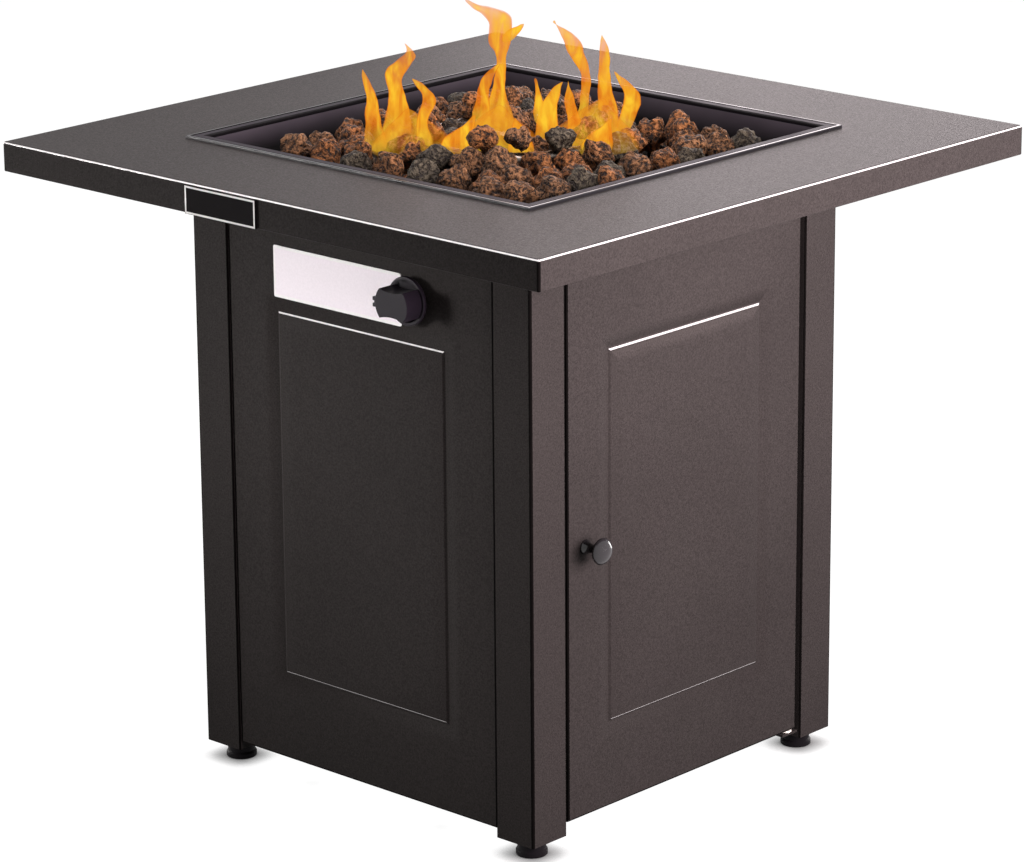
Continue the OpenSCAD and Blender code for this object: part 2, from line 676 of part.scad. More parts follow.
// Gas tube from the valve's outlet to the orifice
outlet_y = -panel_y - valve_front + valve_l + tube_nut_l;
inlet_y = -elbow_w / 2 - elbow_seat - side_gap;
tube_grip = 6;
tube_run = 8;
function eased(t) = let (u = min(1, t)) u * u * (3 - 2 * u);
function between(a, b, t) = a + (b - a) * t;
gas_route = concat([[knob_x, outlet_y - tube_grip, knob_z]],
    [for (i = [0 : 8]) let (t = i / 8) [between(knob_x, 0, eased(t)),
        between(outlet_y + tube_run, inlet_y - tube_run, t), between(knob_z, elbow_z, eased(1.5 * t))]],
    [[0, inlet_y, elbow_z]]);
module gas_tube() color("#c2c2c2") swept_tube(gas_route, gas_tube_r, 10, [0, 0, 1]);
module tube_nut() color("#c9a24a") at_valve()
translate([0, 0, valve_front - valve_l - tube_nut_l]) difference() {
    cylinder(r = tube_nut_r, h = tube_nut_l, $fn = 6);
    translate([0, 0, -1]) cylinder(r = gas_tube_r + hole_fit, h = 8);
    translate([0, 0, -1]) cylinder(r = 2.5, h = tube_nut_l + 2);
}

// Heat shield hung under the pan
module heat_shield() color("#b5b5b5") translate([0, 0, shield_z - shield_t]) difference() {
    translate([-shield_w / 2, -shield_w / 2, 0]) cube([shield_w, shield_w, shield_t]);
    translate([0, 0, -1]) cylinder(r = mixer_r + 2, h = shield_t + 2);
    standoff_places() translate([0, 0, -1]) cylinder(r = stud_r + hole_fit, h = shield_t + 2);
}
module standoff_places() for (x = [-1, 1], y = [-1, 1])
    translate([x * standoff_at, y * standoff_at, 0]) children();
module shield_standoffs() color("#b5b5b5") translate([0, 0, shield_z]) standoff_places()
    ring(standoff_r, stud_r + seat_fit, shield_drop);
module shield_screws() color("#9a9a9a") translate([0, 0, shield_z - shield_t]) standoff_places()
    bolt(shield_t + stud_l, stud_r, 2 * stud_r, stud_r);

// Igniter: a ceramic electrode with a wire tip beside the burner, its bracket, lead and piezo
spark_top = ring_z - 8;
module spark_electrode() color("#e8e4da") {
    translate([spark_x, spark_y, spark_low]) cylinder(r = spark_r, h = spark_top - spark_low);
    translate([spark_x, spark_y, spark_top - 1]) cylinder(r = 1, h = 9);
    translate([spark_x, spark_y, spark_top + 7]) rotate([90, 0, atan2(spark_y, spark_x) + 90])
        cylinder(r = 1, h = 8);
}
module electrode_bracket() color("#b5b5b5") translate([spark_x, spark_y, pan_floor]) difference() {
    translate([-9, -9, 0]) cube([18, 18, 1.5]);
    translate([0, 0, -1]) cylinder(r = spark_r + seat_fit, h = 4);
}
piezo_y = valve_top + piezo_r;
lead_run = 8;
lead_sag = 7;
lead_from = [knob_x, outlet_y - tube_nut_l - valve_l + piezo_l, knob_z + piezo_y];
lead_to = [spark_x, spark_y, spark_low];
lead_route = concat([lead_from],
    [for (i = [0 : 6]) let (t = i / 6)
        between(lead_from + [0, lead_run, 0], lead_to - [0, 0, lead_run], t)
        - [0, 0, lead_sag * 4 * t * (1 - t)]],
    [lead_to]);
module igniter_lead() color("#b03a2e") swept_tube(lead_route, lead_r, 8, [0, 0, 1]);
module piezo_igniter() color("#2a2a2a") at_valve() translate([0, piezo_y, valve_front - piezo_l]) {
    cylinder(r = piezo_r, h = piezo_l);
    translate([-piezo_r, -piezo_r, 0]) cube([2 * piezo_r, piezo_r, piezo_l]);
}

// Lava rocks: faceted stones, each inside its own ball
// Corners that face what carries the stone reach the ball, and the others are drawn in at random
function direction(polar, azimuth) = [sin(polar) * cos(azimuth), sin(polar) * sin(azimuth), cos(polar)];
tilt = acos(sqrt(2 / 3));
function stone_points(reach, touching, turn) = concat(
    [reach[0] * direction(180, 0)],
    [for (k = [0 : 5]) (touching == "low" && k % 2 == 1 ? 1 : reach[1 + k])
        * direction(180 - tilt, turn + 30 + 60 * k)],
    [for (k = [0 : 5]) (touching == "side" && k % 3 == 0 ? 1 : reach[7 + k])
        * direction(90, turn + 60 * k)],
    [for (k = [0 : 5]) (touching == "high" && k % 2 == 0 ? 1 : reach[13 + k])
        * direction(tilt, turn + 30 + 60 * k)],
    [reach[19] * direction(0, 0)]);
stone_faces = [for (k = [0 : 5]) let (m = (k + 1) % 6) each [
    [0, 1 + k, 1 + m], [7 + k, 7 + m, 1 + k], [1 + k, 7 + m, 1 + m],
    [7 + k, 13 + k, 7 + m], [13 + k, 13 + m, 7 + m], [19, 13 + m, 13 + k]]];
module stone(at, seed, touching, size = rock_r, turn = rock_turn) {
    drawn = rands(0.74, 0.98, 20, seed);
    stands = touching == "high" || touching == "base";
    reach = [for (i = [0 : 19]) stands && i == 0 ? 1 : drawn[i]];
    translate(at) polyhedron([for (p = stone_points(reach, touching, turn)) size * p], stone_faces);
}
grid_n = 14;
function grid_point(i, j) = rock_pitch * (i * [cos(rock_turn), sin(rock_turn)]
    + j * [cos(rock_turn + 60), sin(rock_turn + 60)]);
pocket = (grid_point(1, 0) + grid_point(0, 1)) / 3;
function room_at(z) = pan_half - pan_t - wall_lean * (rim_top - z) - (rock_r + side_gap) / wall_cos;
function in_pan(p, z) = max(abs(p[0]), abs(p[1])) < room_at(z);
function in_heap(p) = max(abs(p[0] - heap_shift), abs(p[1] + heap_shift)) < heap_w / 2;
function clear_of_burner(p, z) =
    norm([norm(p) - ring_r, z - ring_z]) > rock_r + tube_r + side_gap
    && (abs(p[0]) > ring_r || norm([p[1], z - ring_z]) > rock_r + arm_r + side_gap)
    && (z - rock_r > hub_top || norm(p) > rock_r + hub_r + side_gap)
    && clear_of_spark(p);
function clear_of_spark(p) = norm(p - [spark_x, spark_y]) > rock_r + spark_room;
spark_room = 13;
function near(list, p) = len([for (q = list) if (norm(q - p) < rock_pitch * 0.6) 1]);
// Stones against the burner tube, one circle outside it and one inside it between the arms
collar_out = ring_r + tube_r + rock_r + side_gap;
collar_in = ring_r - tube_r - rock_r - side_gap;
out_count = floor(180 / asin(rock_pitch / (2 * collar_out)));
in_step = 2 * asin(rock_pitch / (2 * collar_in));
in_count = floor((180 - 2 * asin((arm_r + rock_r + side_gap) / collar_in)) / in_step);
collar_turns = concat([for (i = [0 : out_count - 1]) [collar_out, 360 * i / out_count]],
    [for (s = [90, 270], i = [0 : in_count]) [collar_in, s + (i - in_count / 2) * in_step]]);
function turned_point(r, a) = r * [cos(a), sin(a)];
collars = [for (c = collar_turns) if (clear_of_spark(turned_point(c[0], c[1]))) c];
function clear_of_collars(p, z) = len([for (c = collars)
    if (norm(concat(p - turned_point(c[0], c[1]), [z - ring_z])) < rock_pitch) 1]) == 0;
low_places = [for (i = [-grid_n : grid_n], j = [-grid_n : grid_n]) let (p = grid_point(i, j))
    if (in_pan(p, low_rock_z) && clear_of_burner(p, low_rock_z) && clear_of_collars(p, low_rock_z)) p];
chances = rands(0, 1, (2 * grid_n + 1) * (2 * grid_n + 1), rock_seed);
high_places = [for (i = [-grid_n : grid_n], j = [-grid_n : grid_n])
    let (p = grid_point(i, j) + pocket, chance = chances[(i + grid_n) * (2 * grid_n + 1) + j + grid_n])
    if (chance > rock_share && in_heap(p) && in_pan(p, high_rock_z) && clear_of_burner(p, high_rock_z)
        && clear_of_collars(p, high_rock_z) && near(low_places, p) > 1) p];
// Stones on top of the tube and the hub
cap_count = 14;
cap_turn = -69;
cap_z = ring_z + tube_r + side_gap + cap_r;
cap_chances = rands(0, 1, cap_count, rock_seed + 1);
module lava_rocks_lower() color("#6b4236") for (i = [0 : len(low_places) - 1])
    stone([low_places[i][0], low_places[i][1], low_rock_z], rock_seed + i, "high");
module lava_rocks_upper() color("#7a4a38") {
    for (i = [0 : len(high_places) - 1])
        stone([high_places[i][0], high_places[i][1], high_rock_z], rock_seed + 500 + i, "low");
    for (i = [0 : len(collars) - 1]) rotate([0, 0, collars[i][1]])
        stone([collars[i][0], 0, ring_z], rock_seed + 800 + i, "side", rock_r, 0);
    for (i = [0 : cap_count - 1]) if (cap_chances[i] > 2 * rock_share)
        rotate([0, 0, 360 * i / cap_count + cap_turn])
            stone([ring_r, 0, cap_z], rock_seed + 900 + i, "base", cap_r);
    stone([0, 0, hub_top + side_gap + cap_r], rock_seed + 990, "base", cap_r);
}

// Valve: body with a plug bore, a gas way in from below and out at the back
way_r = 3;
module valve_body() color("#b08d57") at_valve() difference() {
    union() {
        translate([-valve_side, -valve_top, valve_front - valve_l])
            cube([2 * valve_side, 2 * valve_top, valve_l]);
        translate([0, 0, valve_front - 1]) cylinder(r = neck_r, h = 1 - valve_front + neck_proud);
    }
    translate([0, 0, plug_back - side_gap]) cylinder(r = plug_r + run_fit, h = plug_l + 2 * side_gap);
    translate([0, 0, plug_front]) cylinder(r = spindle_r + run_fit, h = neck_proud - plug_front + 1);
    translate([0, 0, valve_front - valve_l - 1]) cylinder(r = way_r, h = valve_l);
    translate([0, 0, port_z]) rotate([90, 0, 0]) cylinder(r = way_r - 0.5, h = valve_top + 1);
    translate([0, -valve_top - 1, port_z]) rotate([-90, 0, 0])
        cylinder(r = fit_shank_r + seat_fit, h = fit_shank_l + 1);
}
module valve_bracket() color("#a8a8a8") at_valve() translate([0, 0, valve_front]) difference() {
    translate([-stud_at - 7, -valve_top, 0]) cube([2 * stud_at + 14, 2 * valve_top, valve_plate_t]);
    translate([0, 0, -1]) cylinder(r = neck_r + hole_fit, h = valve_plate_t + 2);
    for (s = [-1, 1]) translate([s * stud_at, 0, -1])
        cylinder(r = stud_r + hole_fit, h = valve_plate_t + 2);
}
// Plug: its full port meets the inlet at rest, and its small one a quarter turn further on
module valve_plug() color("#c9a24a") at_valve() difference() {
    translate([0, 0, plug_back]) cylinder(r = plug_r, h = plug_l);
    translate([-key_w / 2 - run_fit, -key_w / 2 - run_fit, key_end - knob_push - 1])
        cube([key_w + 2 * run_fit, key_w + 2 * run_fit, 2 * plug_l]);
    translate([0, 0, plug_back - 1]) cylinder(r = way_r, h = port_z - plug_back + 1);
    translate([0, 0, port_z]) rotate([90, 0, 0]) cylinder(r = way_r - 0.5, h = plug_r + 1);
    translate([0, 0, port_z]) rotate([0, -90, 0]) cylinder(r = 1, h = plug_r + 1);
}
module valve_spindle() color("#bdbdbd") at_valve() {
    translate([0, 0, spindle_back]) cylinder(r = spindle_r, h = spindle_front - spindle_back);
    translate([-key_w / 2, -key_w / 2, key_end]) cube([key_w, key_w, spindle_back - key_end + 1]);
}
// Return spring on the valve's neck, wound to the length that it has with the knob pushed in
spring_turns = 4;
spring_wire = 0.45;
spring_r = spindle_r + 1.4;
spring_low = neck_proud + side_gap / 2 + spring_wire;
spring_high = spring_well - knob_push - side_gap - spring_wire;
spring_steps = 12;
spring_route = [for (i = [0 : spring_turns * spring_steps]) let (a = 360 * i / spring_steps)
    [spring_r * cos(a), spring_r * sin(a),
        spring_low + (spring_high - spring_low) * i / (spring_turns * spring_steps)]];
module return_spring() color("#cfcfcf") at_valve() swept_tube(spring_route, spring_wire, 6, [1, 0, 0]);

// Control knob: a flange, and a grip with hollowed sides and a notched pointer at its end
grip_r = knob_d / 2 - 3;
scoop_r = 50;
waist = 12;
pointer_w = 10;
pointer_d = 3.5;
pointer_l = 9;
notch_w = 2.4;
notch_d = 2;
module control_knob() color("#121011") at_valve() difference() {
    union() {
        translate([0, 0, knob_back]) cylinder(r = knob_d / 2, h = knob_flange_t);
        translate([0, 0, knob_back + knob_flange_t - 1]) difference() {
            cylinder(r = grip_r, h = knob_l + 1);
            for (s = [-1, 1]) translate([0, s * (scoop_r + waist), 1])
                cylinder(r = scoop_r, h = knob_l + 1, $fn = 96);
        }
        translate([-grip_r - pointer_d, 0, knob_front - pointer_l]) difference() {
            translate([0, -pointer_w / 2, 0]) cube([2 * pointer_d, pointer_w, pointer_l]);
            translate([-1, -notch_w / 2, -1]) cube([notch_d + 1, notch_w, pointer_l + 2]);
        }
    }
    translate([0, 0, knob_back - 1])
        cylinder(r = spindle_r + seat_fit, h = spindle_front - knob_back + 1.3);
    translate([0, 0, knob_back - 1]) cylinder(r = spring_r + 1.6, h = spring_well - knob_back + 1);
}

// Gas inlet: hexagon and threaded spigot under the valve
module inlet_fitting() color("#c9a24a") at_valve()
translate([0, -valve_top, port_z]) rotate([90, 0, 0]) difference() {
    union() {
        translate([0, 0, 1 - fit_shank_l]) cylinder(r = fit_shank_r, h = fit_shank_l);
        cylinder(r = fit_hex_r, h = fit_hex_h, $fn = 6);
        cylinder(r = inlet_r, h = fit_hex_h + inlet_l);
    }
    translate([0, 0, -fit_shank_l]) cylinder(r = way_r, h = 3 * fit_shank_l + inlet_l + fit_hex_h);
}

// Plate with the lighting steps, beside the knob
guide_end = 14.5;
module instruction_plate() color("#e6dfe0") at_valve()
    translate([-guide_end - guide_w, -guide_h / 2 - 3, 0]) cube([guide_w, guide_h, guide_t]);

// Bolts and nuts
module rail_bolts() color("#1c1a1a") for (side = [0 : 3], s = [-1, 1]) turned(side)
    rail_bolt_axis(s) bolt(rail_t + post_t + nut_h + bolt_tail);
module panel_bolts() color("#9a9a9a") for (side = [0, 2, 3], s = [-1, 1], z = side_bolt_zs) on_side(side)
    side_bolt_axis(s, z) bolt(panel_t + post_t + nut_h + bolt_tail);
module shelf_bolts() color("#9a9a9a") {
    for (side = [0, 2, 3], s = [-1, 1]) on_side(side) shelf_bolt_axis(s)
        bolt(shelf_t + panel_t + nut_h + bolt_tail);
    for (i = [0, 1]) bracket_bolt_axis(i) bolt(shelf_t + bracket_t + nut_h + bolt_tail);
}
module nuts() color("#9a9a9a") {
    for (side = [0 : 3], s = [-1, 1]) turned(side) rail_bolt_axis(s)
        translate([0, 0, rail_t + post_t]) hex_nut();
    for (side = [0, 2, 3], s = [-1, 1]) on_side(side) {
        for (z = side_bolt_zs) side_bolt_axis(s, z) translate([0, 0, panel_t + post_t]) hex_nut();
        shelf_bolt_axis(s) translate([0, 0, shelf_t + panel_t]) hex_nut();
    }
    for (i = [0, 1]) bracket_bolt_axis(i) translate([0, 0, shelf_t + bracket_t]) hex_nut();
    on_side(1) translate([-post_in - post_t, bolt_in, crest_mid]) rotate([0, -90, 0]) hex_nut();
    at_valve() for (s = [-1, 1]) translate([s * stud_at, 0, valve_front]) rotate([180, 0, 0])
        hex_nut(4, 3.2, stud_r);
}

tabletop();
badge_plate();
rail(0);  // rail_front
rail(1);  // rail_right
rail(2);  // rail_rear
rail(3);  // rail_left
corner_post(0);  // post_front_left
corner_post(1);  // post_front_right
corner_post(2);  // post_rear_right
corner_post(3);  // post_rear_left
control_panel();
rear_panel();
left_panel();
door_header();
base_shelf();
foot(0);  // foot_front_left
foot(1);  // foot_front_right
foot(2);  // foot_rear_right
foot(3);  // foot_rear_left
door();
door_knob();
door_knob_screw();
door_pin_upper();
door_pin_lower();
washer_upper();
washer_lower();
pivot_bracket();
magnet_catch();
strike_plate();
catch_bolt();
burner_pan();
burner_ring();
burner_stem();
burner_lock_nut();
air_mixer();
gas_orifice();
gas_tube();
tube_nut();
heat_shield();
shield_standoffs();
shield_screws();
spark_electrode();
electrode_bracket();
igniter_lead();
piezo_igniter();
lava_rocks_lower();
lava_rocks_upper();
valve_body();
valve_bracket();
valve_plug();
valve_spindle();
return_spring();
control_knob();
inlet_fitting();
instruction_plate();
rail_bolts();
panel_bolts();
shelf_bolts();
nuts();
foot_nuts();
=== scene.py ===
import json
import math
import random

import bmesh
import bpy
from mathutils import Matrix, Vector


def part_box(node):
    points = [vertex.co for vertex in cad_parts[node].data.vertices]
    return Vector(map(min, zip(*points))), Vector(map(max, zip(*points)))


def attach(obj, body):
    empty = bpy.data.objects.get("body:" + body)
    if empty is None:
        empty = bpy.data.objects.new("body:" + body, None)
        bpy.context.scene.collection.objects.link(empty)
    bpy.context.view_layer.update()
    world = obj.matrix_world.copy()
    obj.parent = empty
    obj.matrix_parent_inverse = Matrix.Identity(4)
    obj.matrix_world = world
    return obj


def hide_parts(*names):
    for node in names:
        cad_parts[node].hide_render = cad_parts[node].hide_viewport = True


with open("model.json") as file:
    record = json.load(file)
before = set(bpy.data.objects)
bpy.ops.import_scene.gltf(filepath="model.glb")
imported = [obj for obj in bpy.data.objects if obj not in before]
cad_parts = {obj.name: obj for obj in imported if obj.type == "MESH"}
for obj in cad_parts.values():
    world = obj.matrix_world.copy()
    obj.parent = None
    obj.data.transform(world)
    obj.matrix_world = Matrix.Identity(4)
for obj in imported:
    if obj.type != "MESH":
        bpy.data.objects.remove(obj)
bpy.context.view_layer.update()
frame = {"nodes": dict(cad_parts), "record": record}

# Gas fire pit table in metres, +Z up. The control panel faces -Y and the door faces +X.

seam_gap = 0.0004
tiny = 1e-5
# A direction's share along an axis from which it counts as straight along it, or flat in a sheet
straight = 0.9
flat_on = 0.98

# Places that the frame gives
table_low, table_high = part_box("tabletop")
post_low, post_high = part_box("post_front_left")
panel_low, panel_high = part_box("control_panel")
door_low, door_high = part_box("door")
pan_low, pan_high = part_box("burner_pan")
knob_low, knob_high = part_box("control_knob")
pull_low, pull_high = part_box("door_knob")
body_half = -post_low.x
post_leg = post_high.x - post_low.x
panel_face = -panel_low.y
panel_half = -panel_low.x - seam_gap
door_half = door_high.y
rim_half = pan_high.x

# Sheet metal: thicknesses, folds and flanges
top_t = 0.0015
top_fold = 0.0025
# Top fold faces whose normal's Z lies between these get a painted highlight
top_shine = (0.3, 0.8)
upright_lean = 0.1
corner_lean = 0.05
hem = 0.010
hem_fold = 0.0012
opening_inset = 0.0095
opening_half = body_half - opening_inset
post_t = 0.0015
post_fold = 0.0025
post_edge = 0.0016
return_d = 0.016
return_drop = 0.034
return_top = table_high.z - return_drop
foot_plate_t = 0.0025
foot_plate_round = 0.0006
panel_t = 0.0012
panel_flange = 0.014
sole_flange = 0.018
sheet_fold = 0.0021
sharp_turn = 1.2
pan_t = 0.0012
pan_lean = 0.026
pan_wall_inset = 0.0115
pan_wall_half = body_half - pan_wall_inset - pan_t
pan_lip = 0.0035
pan_cove = 0.006
bead_w = 0.0026
bead_round = 0.0011
groove_w = 0.0007
groove_d = 0.0009
band_half = rim_half - bead_w - 3 * groove_w
rim_depth = 0.004
# How far below the rim the painted shade on the pan's wall is full, and where it has faded out
painted_shade_depth = 0.024
unshaded_depth = 0.002

# The rectangle pressed into the panels and the door
crest_half = 0.112
crest_low = 0.115
crest_high = 0.490
crest_mid = (crest_low + crest_high) / 2
slope_w = 0.014
slope_d = 0.003
step_w = 0.0025
step_d = 0.0018
bevel_w = 0.014
brow_fold = 0.0035
foot_fold = 0.0007
step_fold = 0.0008
# Painted shade on the door's slope above the crest and painted light on the bevel below it: how dark or
# pale, and over what height each fades in
hollow_shade_level = 0.70
hollow_foot = 0.004
brow_light_level = 1.32
brow_fade = 0.008
# Faces along the crest that lean up by more than this get a painted highlight, and lean is the normal's Z
panel_shine = 0.55
door_shine = 0.38
# Lower crest faces that lean between these get a softer painted glint
glint_lean = (-0.36, -0.25)
# On the door, upper faces that lean down get painted shade, and those that lean up a little get painted
# light
hollow_lean = -0.02
brow_lean = (0.01, 0.12)

# Knobs
knob_x = 0.073
knob_z = 0.534
flange_r = 0.024
flange_t = 0.004
grip_r = 0.021
scoop_r = 0.050
waist = 0.012
pointer_w = 0.010
pointer_d = 0.0035
pointer_l = 0.009
notch_w = 0.0024
notch_d = 0.002
spring_well = 0.007
spring_room_r = 0.007
spindle_hole = 0.00405
knob_crown = 0.0037
neck_hole_r = 0.0104
pull_base_r = 0.0073
pull_waist_r = 0.0042
pull_dome = 0.0075
pull_sides = 72
crown_steps = 10
crown_fit = 0.985
flange_round = 0.0012
grip_round = 0.0009
pointer_round = 0.0006
pointer_sink = 0.0002
scoop_room = 0.01
neck_cut = 0.005
overlap = 0.001

# Plates
badge_margin = 0.0003
badge_line_w = 0.0019
guide_margin = 0.0030

# The photograph's frame and the camera fitted to the table in it
photo_w = 1024
sensor_w = 36
focal_px = 4387.6
camera_turn = math.radians(42.784)
camera_rise = math.radians(16.634)
camera_roll = math.radians(-0.432)
camera_range = 4.4112
camera_aim = Vector((0, 0, 0.320))
camera_shift = (-0.0052, 0.0191)


# Working on one piece at a time

def pick_none():
    bpy.ops.object.select_all(action="DESELECT")


def alone(piece):
    """Selects one piece and nothing else."""
    pick_none()
    piece.select_set(True)
    bpy.context.view_layer.objects.active = piece


def edit(piece):
    alone(piece)
    bpy.ops.object.mode_set(mode="EDIT")


def leave():
    bpy.ops.object.mode_set(mode="OBJECT")


def pick_all():
    """In edit mode, selects the whole piece."""
    bpy.ops.mesh.select_all(action="SELECT")


def pick(piece, kind, test):
    """In edit mode, selects the corners, edges or faces that pass a test."""
    bpy.ops.mesh.select_mode(type=kind)
    bpy.ops.mesh.select_all(action="DESELECT")
    shape = bmesh.from_edit_mesh(piece.data)
    shape.normal_update()
    for part in {"VERT": shape.verts, "EDGE": shape.edges, "FACE": shape.faces}[kind]:
        if test(part):
            part.select_set(True)
    shape.select_flush_mode()
    bmesh.update_edit_mesh(piece.data)


def draw_out(step):
    """In edit mode, extrudes what is picked."""
    bpy.ops.mesh.extrude_region_move(TRANSFORM_OT_translate={"value": step})


def round_edges(piece, width, steps, test):
    """In edit mode, rounds the edges that pass a test."""
    pick(piece, "EDGE", test)
    bpy.ops.mesh.bevel(offset=width, segments=steps)


def middle(edge):
    return (edge.verts[0].co + edge.verts[1].co) / 2


def along(edge):
    return (edge.verts[1].co - edge.verts[0].co).normalized()


def named(name):
    piece = bpy.context.object
    piece.name = name
    piece.data.name = name
    return piece


def placed(name):
    """Names the piece just added, and keeps its place in its mesh."""
    piece = named(name)
    bpy.ops.object.transform_apply(location=True, rotation=True, scale=True)
    return piece


def settle(piece, turn=(0, 0, 0), to=(0, 0, 0)):
    """Turns and moves a piece, and keeps its place in its mesh."""
    alone(piece)
    piece.rotation_euler = turn
    piece.location = to
    bpy.ops.object.transform_apply(location=True, rotation=True, scale=True)


def add_block(name, low, high):
    pick_none()
    bpy.ops.mesh.primitive_cube_add(size=1, location=(low + high) / 2, scale=high - low)
    return placed(name)


def add_round(name, radius, low, high, sides=96):
    pick_none()
    bpy.ops.mesh.primitive_cylinder_add(vertices=sides, radius=radius, depth=high - low,
                                        location=(0, 0, (low + high) / 2))
    return placed(name)


def draw_line(name, points):
    """Joined edges through the points, as the start of a folded or turned piece; left in edit mode."""
    pick_none()
    bpy.ops.mesh.primitive_plane_add(size=0.001)
    piece = named(name)
    edit(piece)
    bpy.ops.mesh.select_mode(type="VERT")
    pick_all()
    bpy.ops.mesh.merge(type="CENTER")
    here = Vector((0, 0, 0))
    for number, point in enumerate(points):
        step = Vector(point) - here
        if number == 0:
            bpy.ops.transform.translate(value=step)
        else:
            bpy.ops.mesh.extrude_vertices_move(TRANSFORM_OT_translate={"value": step})
        here = Vector(point)
    return piece


def finish_with(piece, kind, **values):
    """Adds a modifier and applies it."""
    alone(piece)
    change = piece.modifiers.new(kind.lower(), kind)
    for name, value in values.items():
        setattr(change, name, value)
    bpy.ops.object.modifier_apply(modifier=change.name)


def thicken(piece, thickness):
    finish_with(piece, "SOLIDIFY", thickness=thickness, offset=-1, use_even_offset=True)


def cut_away(piece, *tools):
    for tool in tools:
        finish_with(piece, "BOOLEAN", operation="DIFFERENCE", solver="EXACT", object=tool)
        bpy.data.objects.remove(tool)


def join(piece, *others):
    alone(piece)
    for other in others:
        other.select_set(True)
    bpy.ops.object.join()


def smooth(piece, degrees=30):
    """Shades the rounds smoothly, and keeps the flats beside them flat."""
    alone(piece)
    bpy.ops.object.shade_smooth_by_angle(angle=math.radians(degrees))
    finish_with(piece, "WEIGHTED_NORMAL", keep_sharp=True, weight=100)


def clad(piece, *finishes):
    piece.data.materials.clear()
    for finish in finishes:
        piece.data.materials.append(finish)


def paint_picked(piece, finish):
    """In edit mode, gives the picked faces one of the finishes that the piece is clad in."""
    piece.active_material_index = piece.data.materials.find(finish.name)
    bpy.ops.object.material_slot_assign()


def paint_faces(piece, finish, test):
    pick(piece, "FACE", test)
    paint_picked(piece, finish)


def stand_for(piece, body, slot, *nodes):
    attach(piece, body)
    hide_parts(*nodes)


# Steps that materials share

def feed(tree, value, socket):
    """Sets a plain number or colour on a socket, or links what another node gives."""
    if isinstance(value, tuple):
        socket.default_value = (*value, 1)
    elif isinstance(value, (int, float)):
        socket.default_value = value
    else:
        tree.links.new(value, socket)


def remap(tree, source, low, high, to_low=0.0, to_high=1.0):
    """Stretches a value's range, clamped at both ends."""
    node = tree.nodes.new("ShaderNodeMapRange")
    ends = {"From Min": low, "From Max": high, "To Min": to_low, "To Max": to_high}
    for socket, value in ends.items():
        node.inputs[socket].default_value = value
    tree.links.new(source, node.inputs["Value"])
    return node.outputs["Result"]


def reckon(tree, how, first, second):
    """One sum on two values, either of which may be a plain number."""
    node = tree.nodes.new("ShaderNodeMath")
    node.operation = how
    feed(tree, first, node.inputs[0])
    feed(tree, second, node.inputs[1])
    return node.outputs["Value"]


def blend(tree, factor, first, second):
    """Mixes two colours, either of which may be plain."""
    node = tree.nodes.new("ShaderNodeMix")
    node.data_type = "RGBA"
    feed(tree, factor, node.inputs[0])
    feed(tree, first, node.inputs[6])
    feed(tree, second, node.inputs[7])
    return node.outputs[2]


def stretch(tree, place, by):
    node = tree.nodes.new("ShaderNodeMapping")
    node.inputs["Scale"].default_value = by
    tree.links.new(place, node.inputs["Vector"])
    return node.outputs["Vector"]


def add_noise(tree, place, scale, detail=2, roughness=0.5, distortion=0):
    node = tree.nodes.new("ShaderNodeTexNoise")
    settings = {"Scale": scale, "Detail": detail, "Roughness": roughness, "Distortion": distortion}
    for socket, value in settings.items():
        feed(tree, value, node.inputs[socket])
    tree.links.new(place, node.inputs["Vector"])
    return node.outputs


def bare_material(name):
    """A material without the usual shader, and its nodes."""
    material = bpy.data.materials.new(name)
    material.use_nodes = True
    tree = material.node_tree
    tree.nodes.remove(tree.nodes["Principled BSDF"])
    return material, tree


def end_in_mix(tree, factor, first, second):
    """Ends a material in a mix of two shaders."""
    mix = tree.nodes.new("ShaderNodeMixShader")
    for value, socket in zip((factor, first, second), mix.inputs):
        tree.links.new(value, socket)
    tree.links.new(mix.outputs["Shader"], tree.nodes["Material Output"].inputs["Surface"])


# Effects that several finishes share

def new_effect(name, count, outputs):
    """A node group with one input, a count per metre, and the outputs named."""
    group = bpy.data.node_groups.new(name, "ShaderNodeTree")
    word, usual = count
    made = group.interface.new_socket(word, in_out="INPUT", socket_type="NodeSocketFloat")
    made.default_value = usual
    for socket in outputs:
        group.interface.new_socket(socket, in_out="OUTPUT", socket_type="NodeSocketFloat")
    start = group.nodes.new("NodeGroupInput")
    end = group.nodes.new("NodeGroupOutput")
    place = group.nodes.new("ShaderNodeTexCoord")
    return group, start.outputs[word], end.inputs, place.outputs["Object"]


def noise_effect(name, count, outputs, detail, spread, roughness=0.5, squeeze=(1, 1, 1)):
    """Noise stretched to fill 0 to 1 and, where a second output asks for it, as it is."""
    group, scale, ends, place = new_effect(name, count, outputs)
    lumps = add_noise(group, stretch(group, place, squeeze), scale, detail, roughness)["Fac"]
    group.links.new(remap(group, lumps, *spread), ends[outputs[0]])
    for raw in outputs[1:]:
        group.links.new(lumps, ends[raw])
    return group


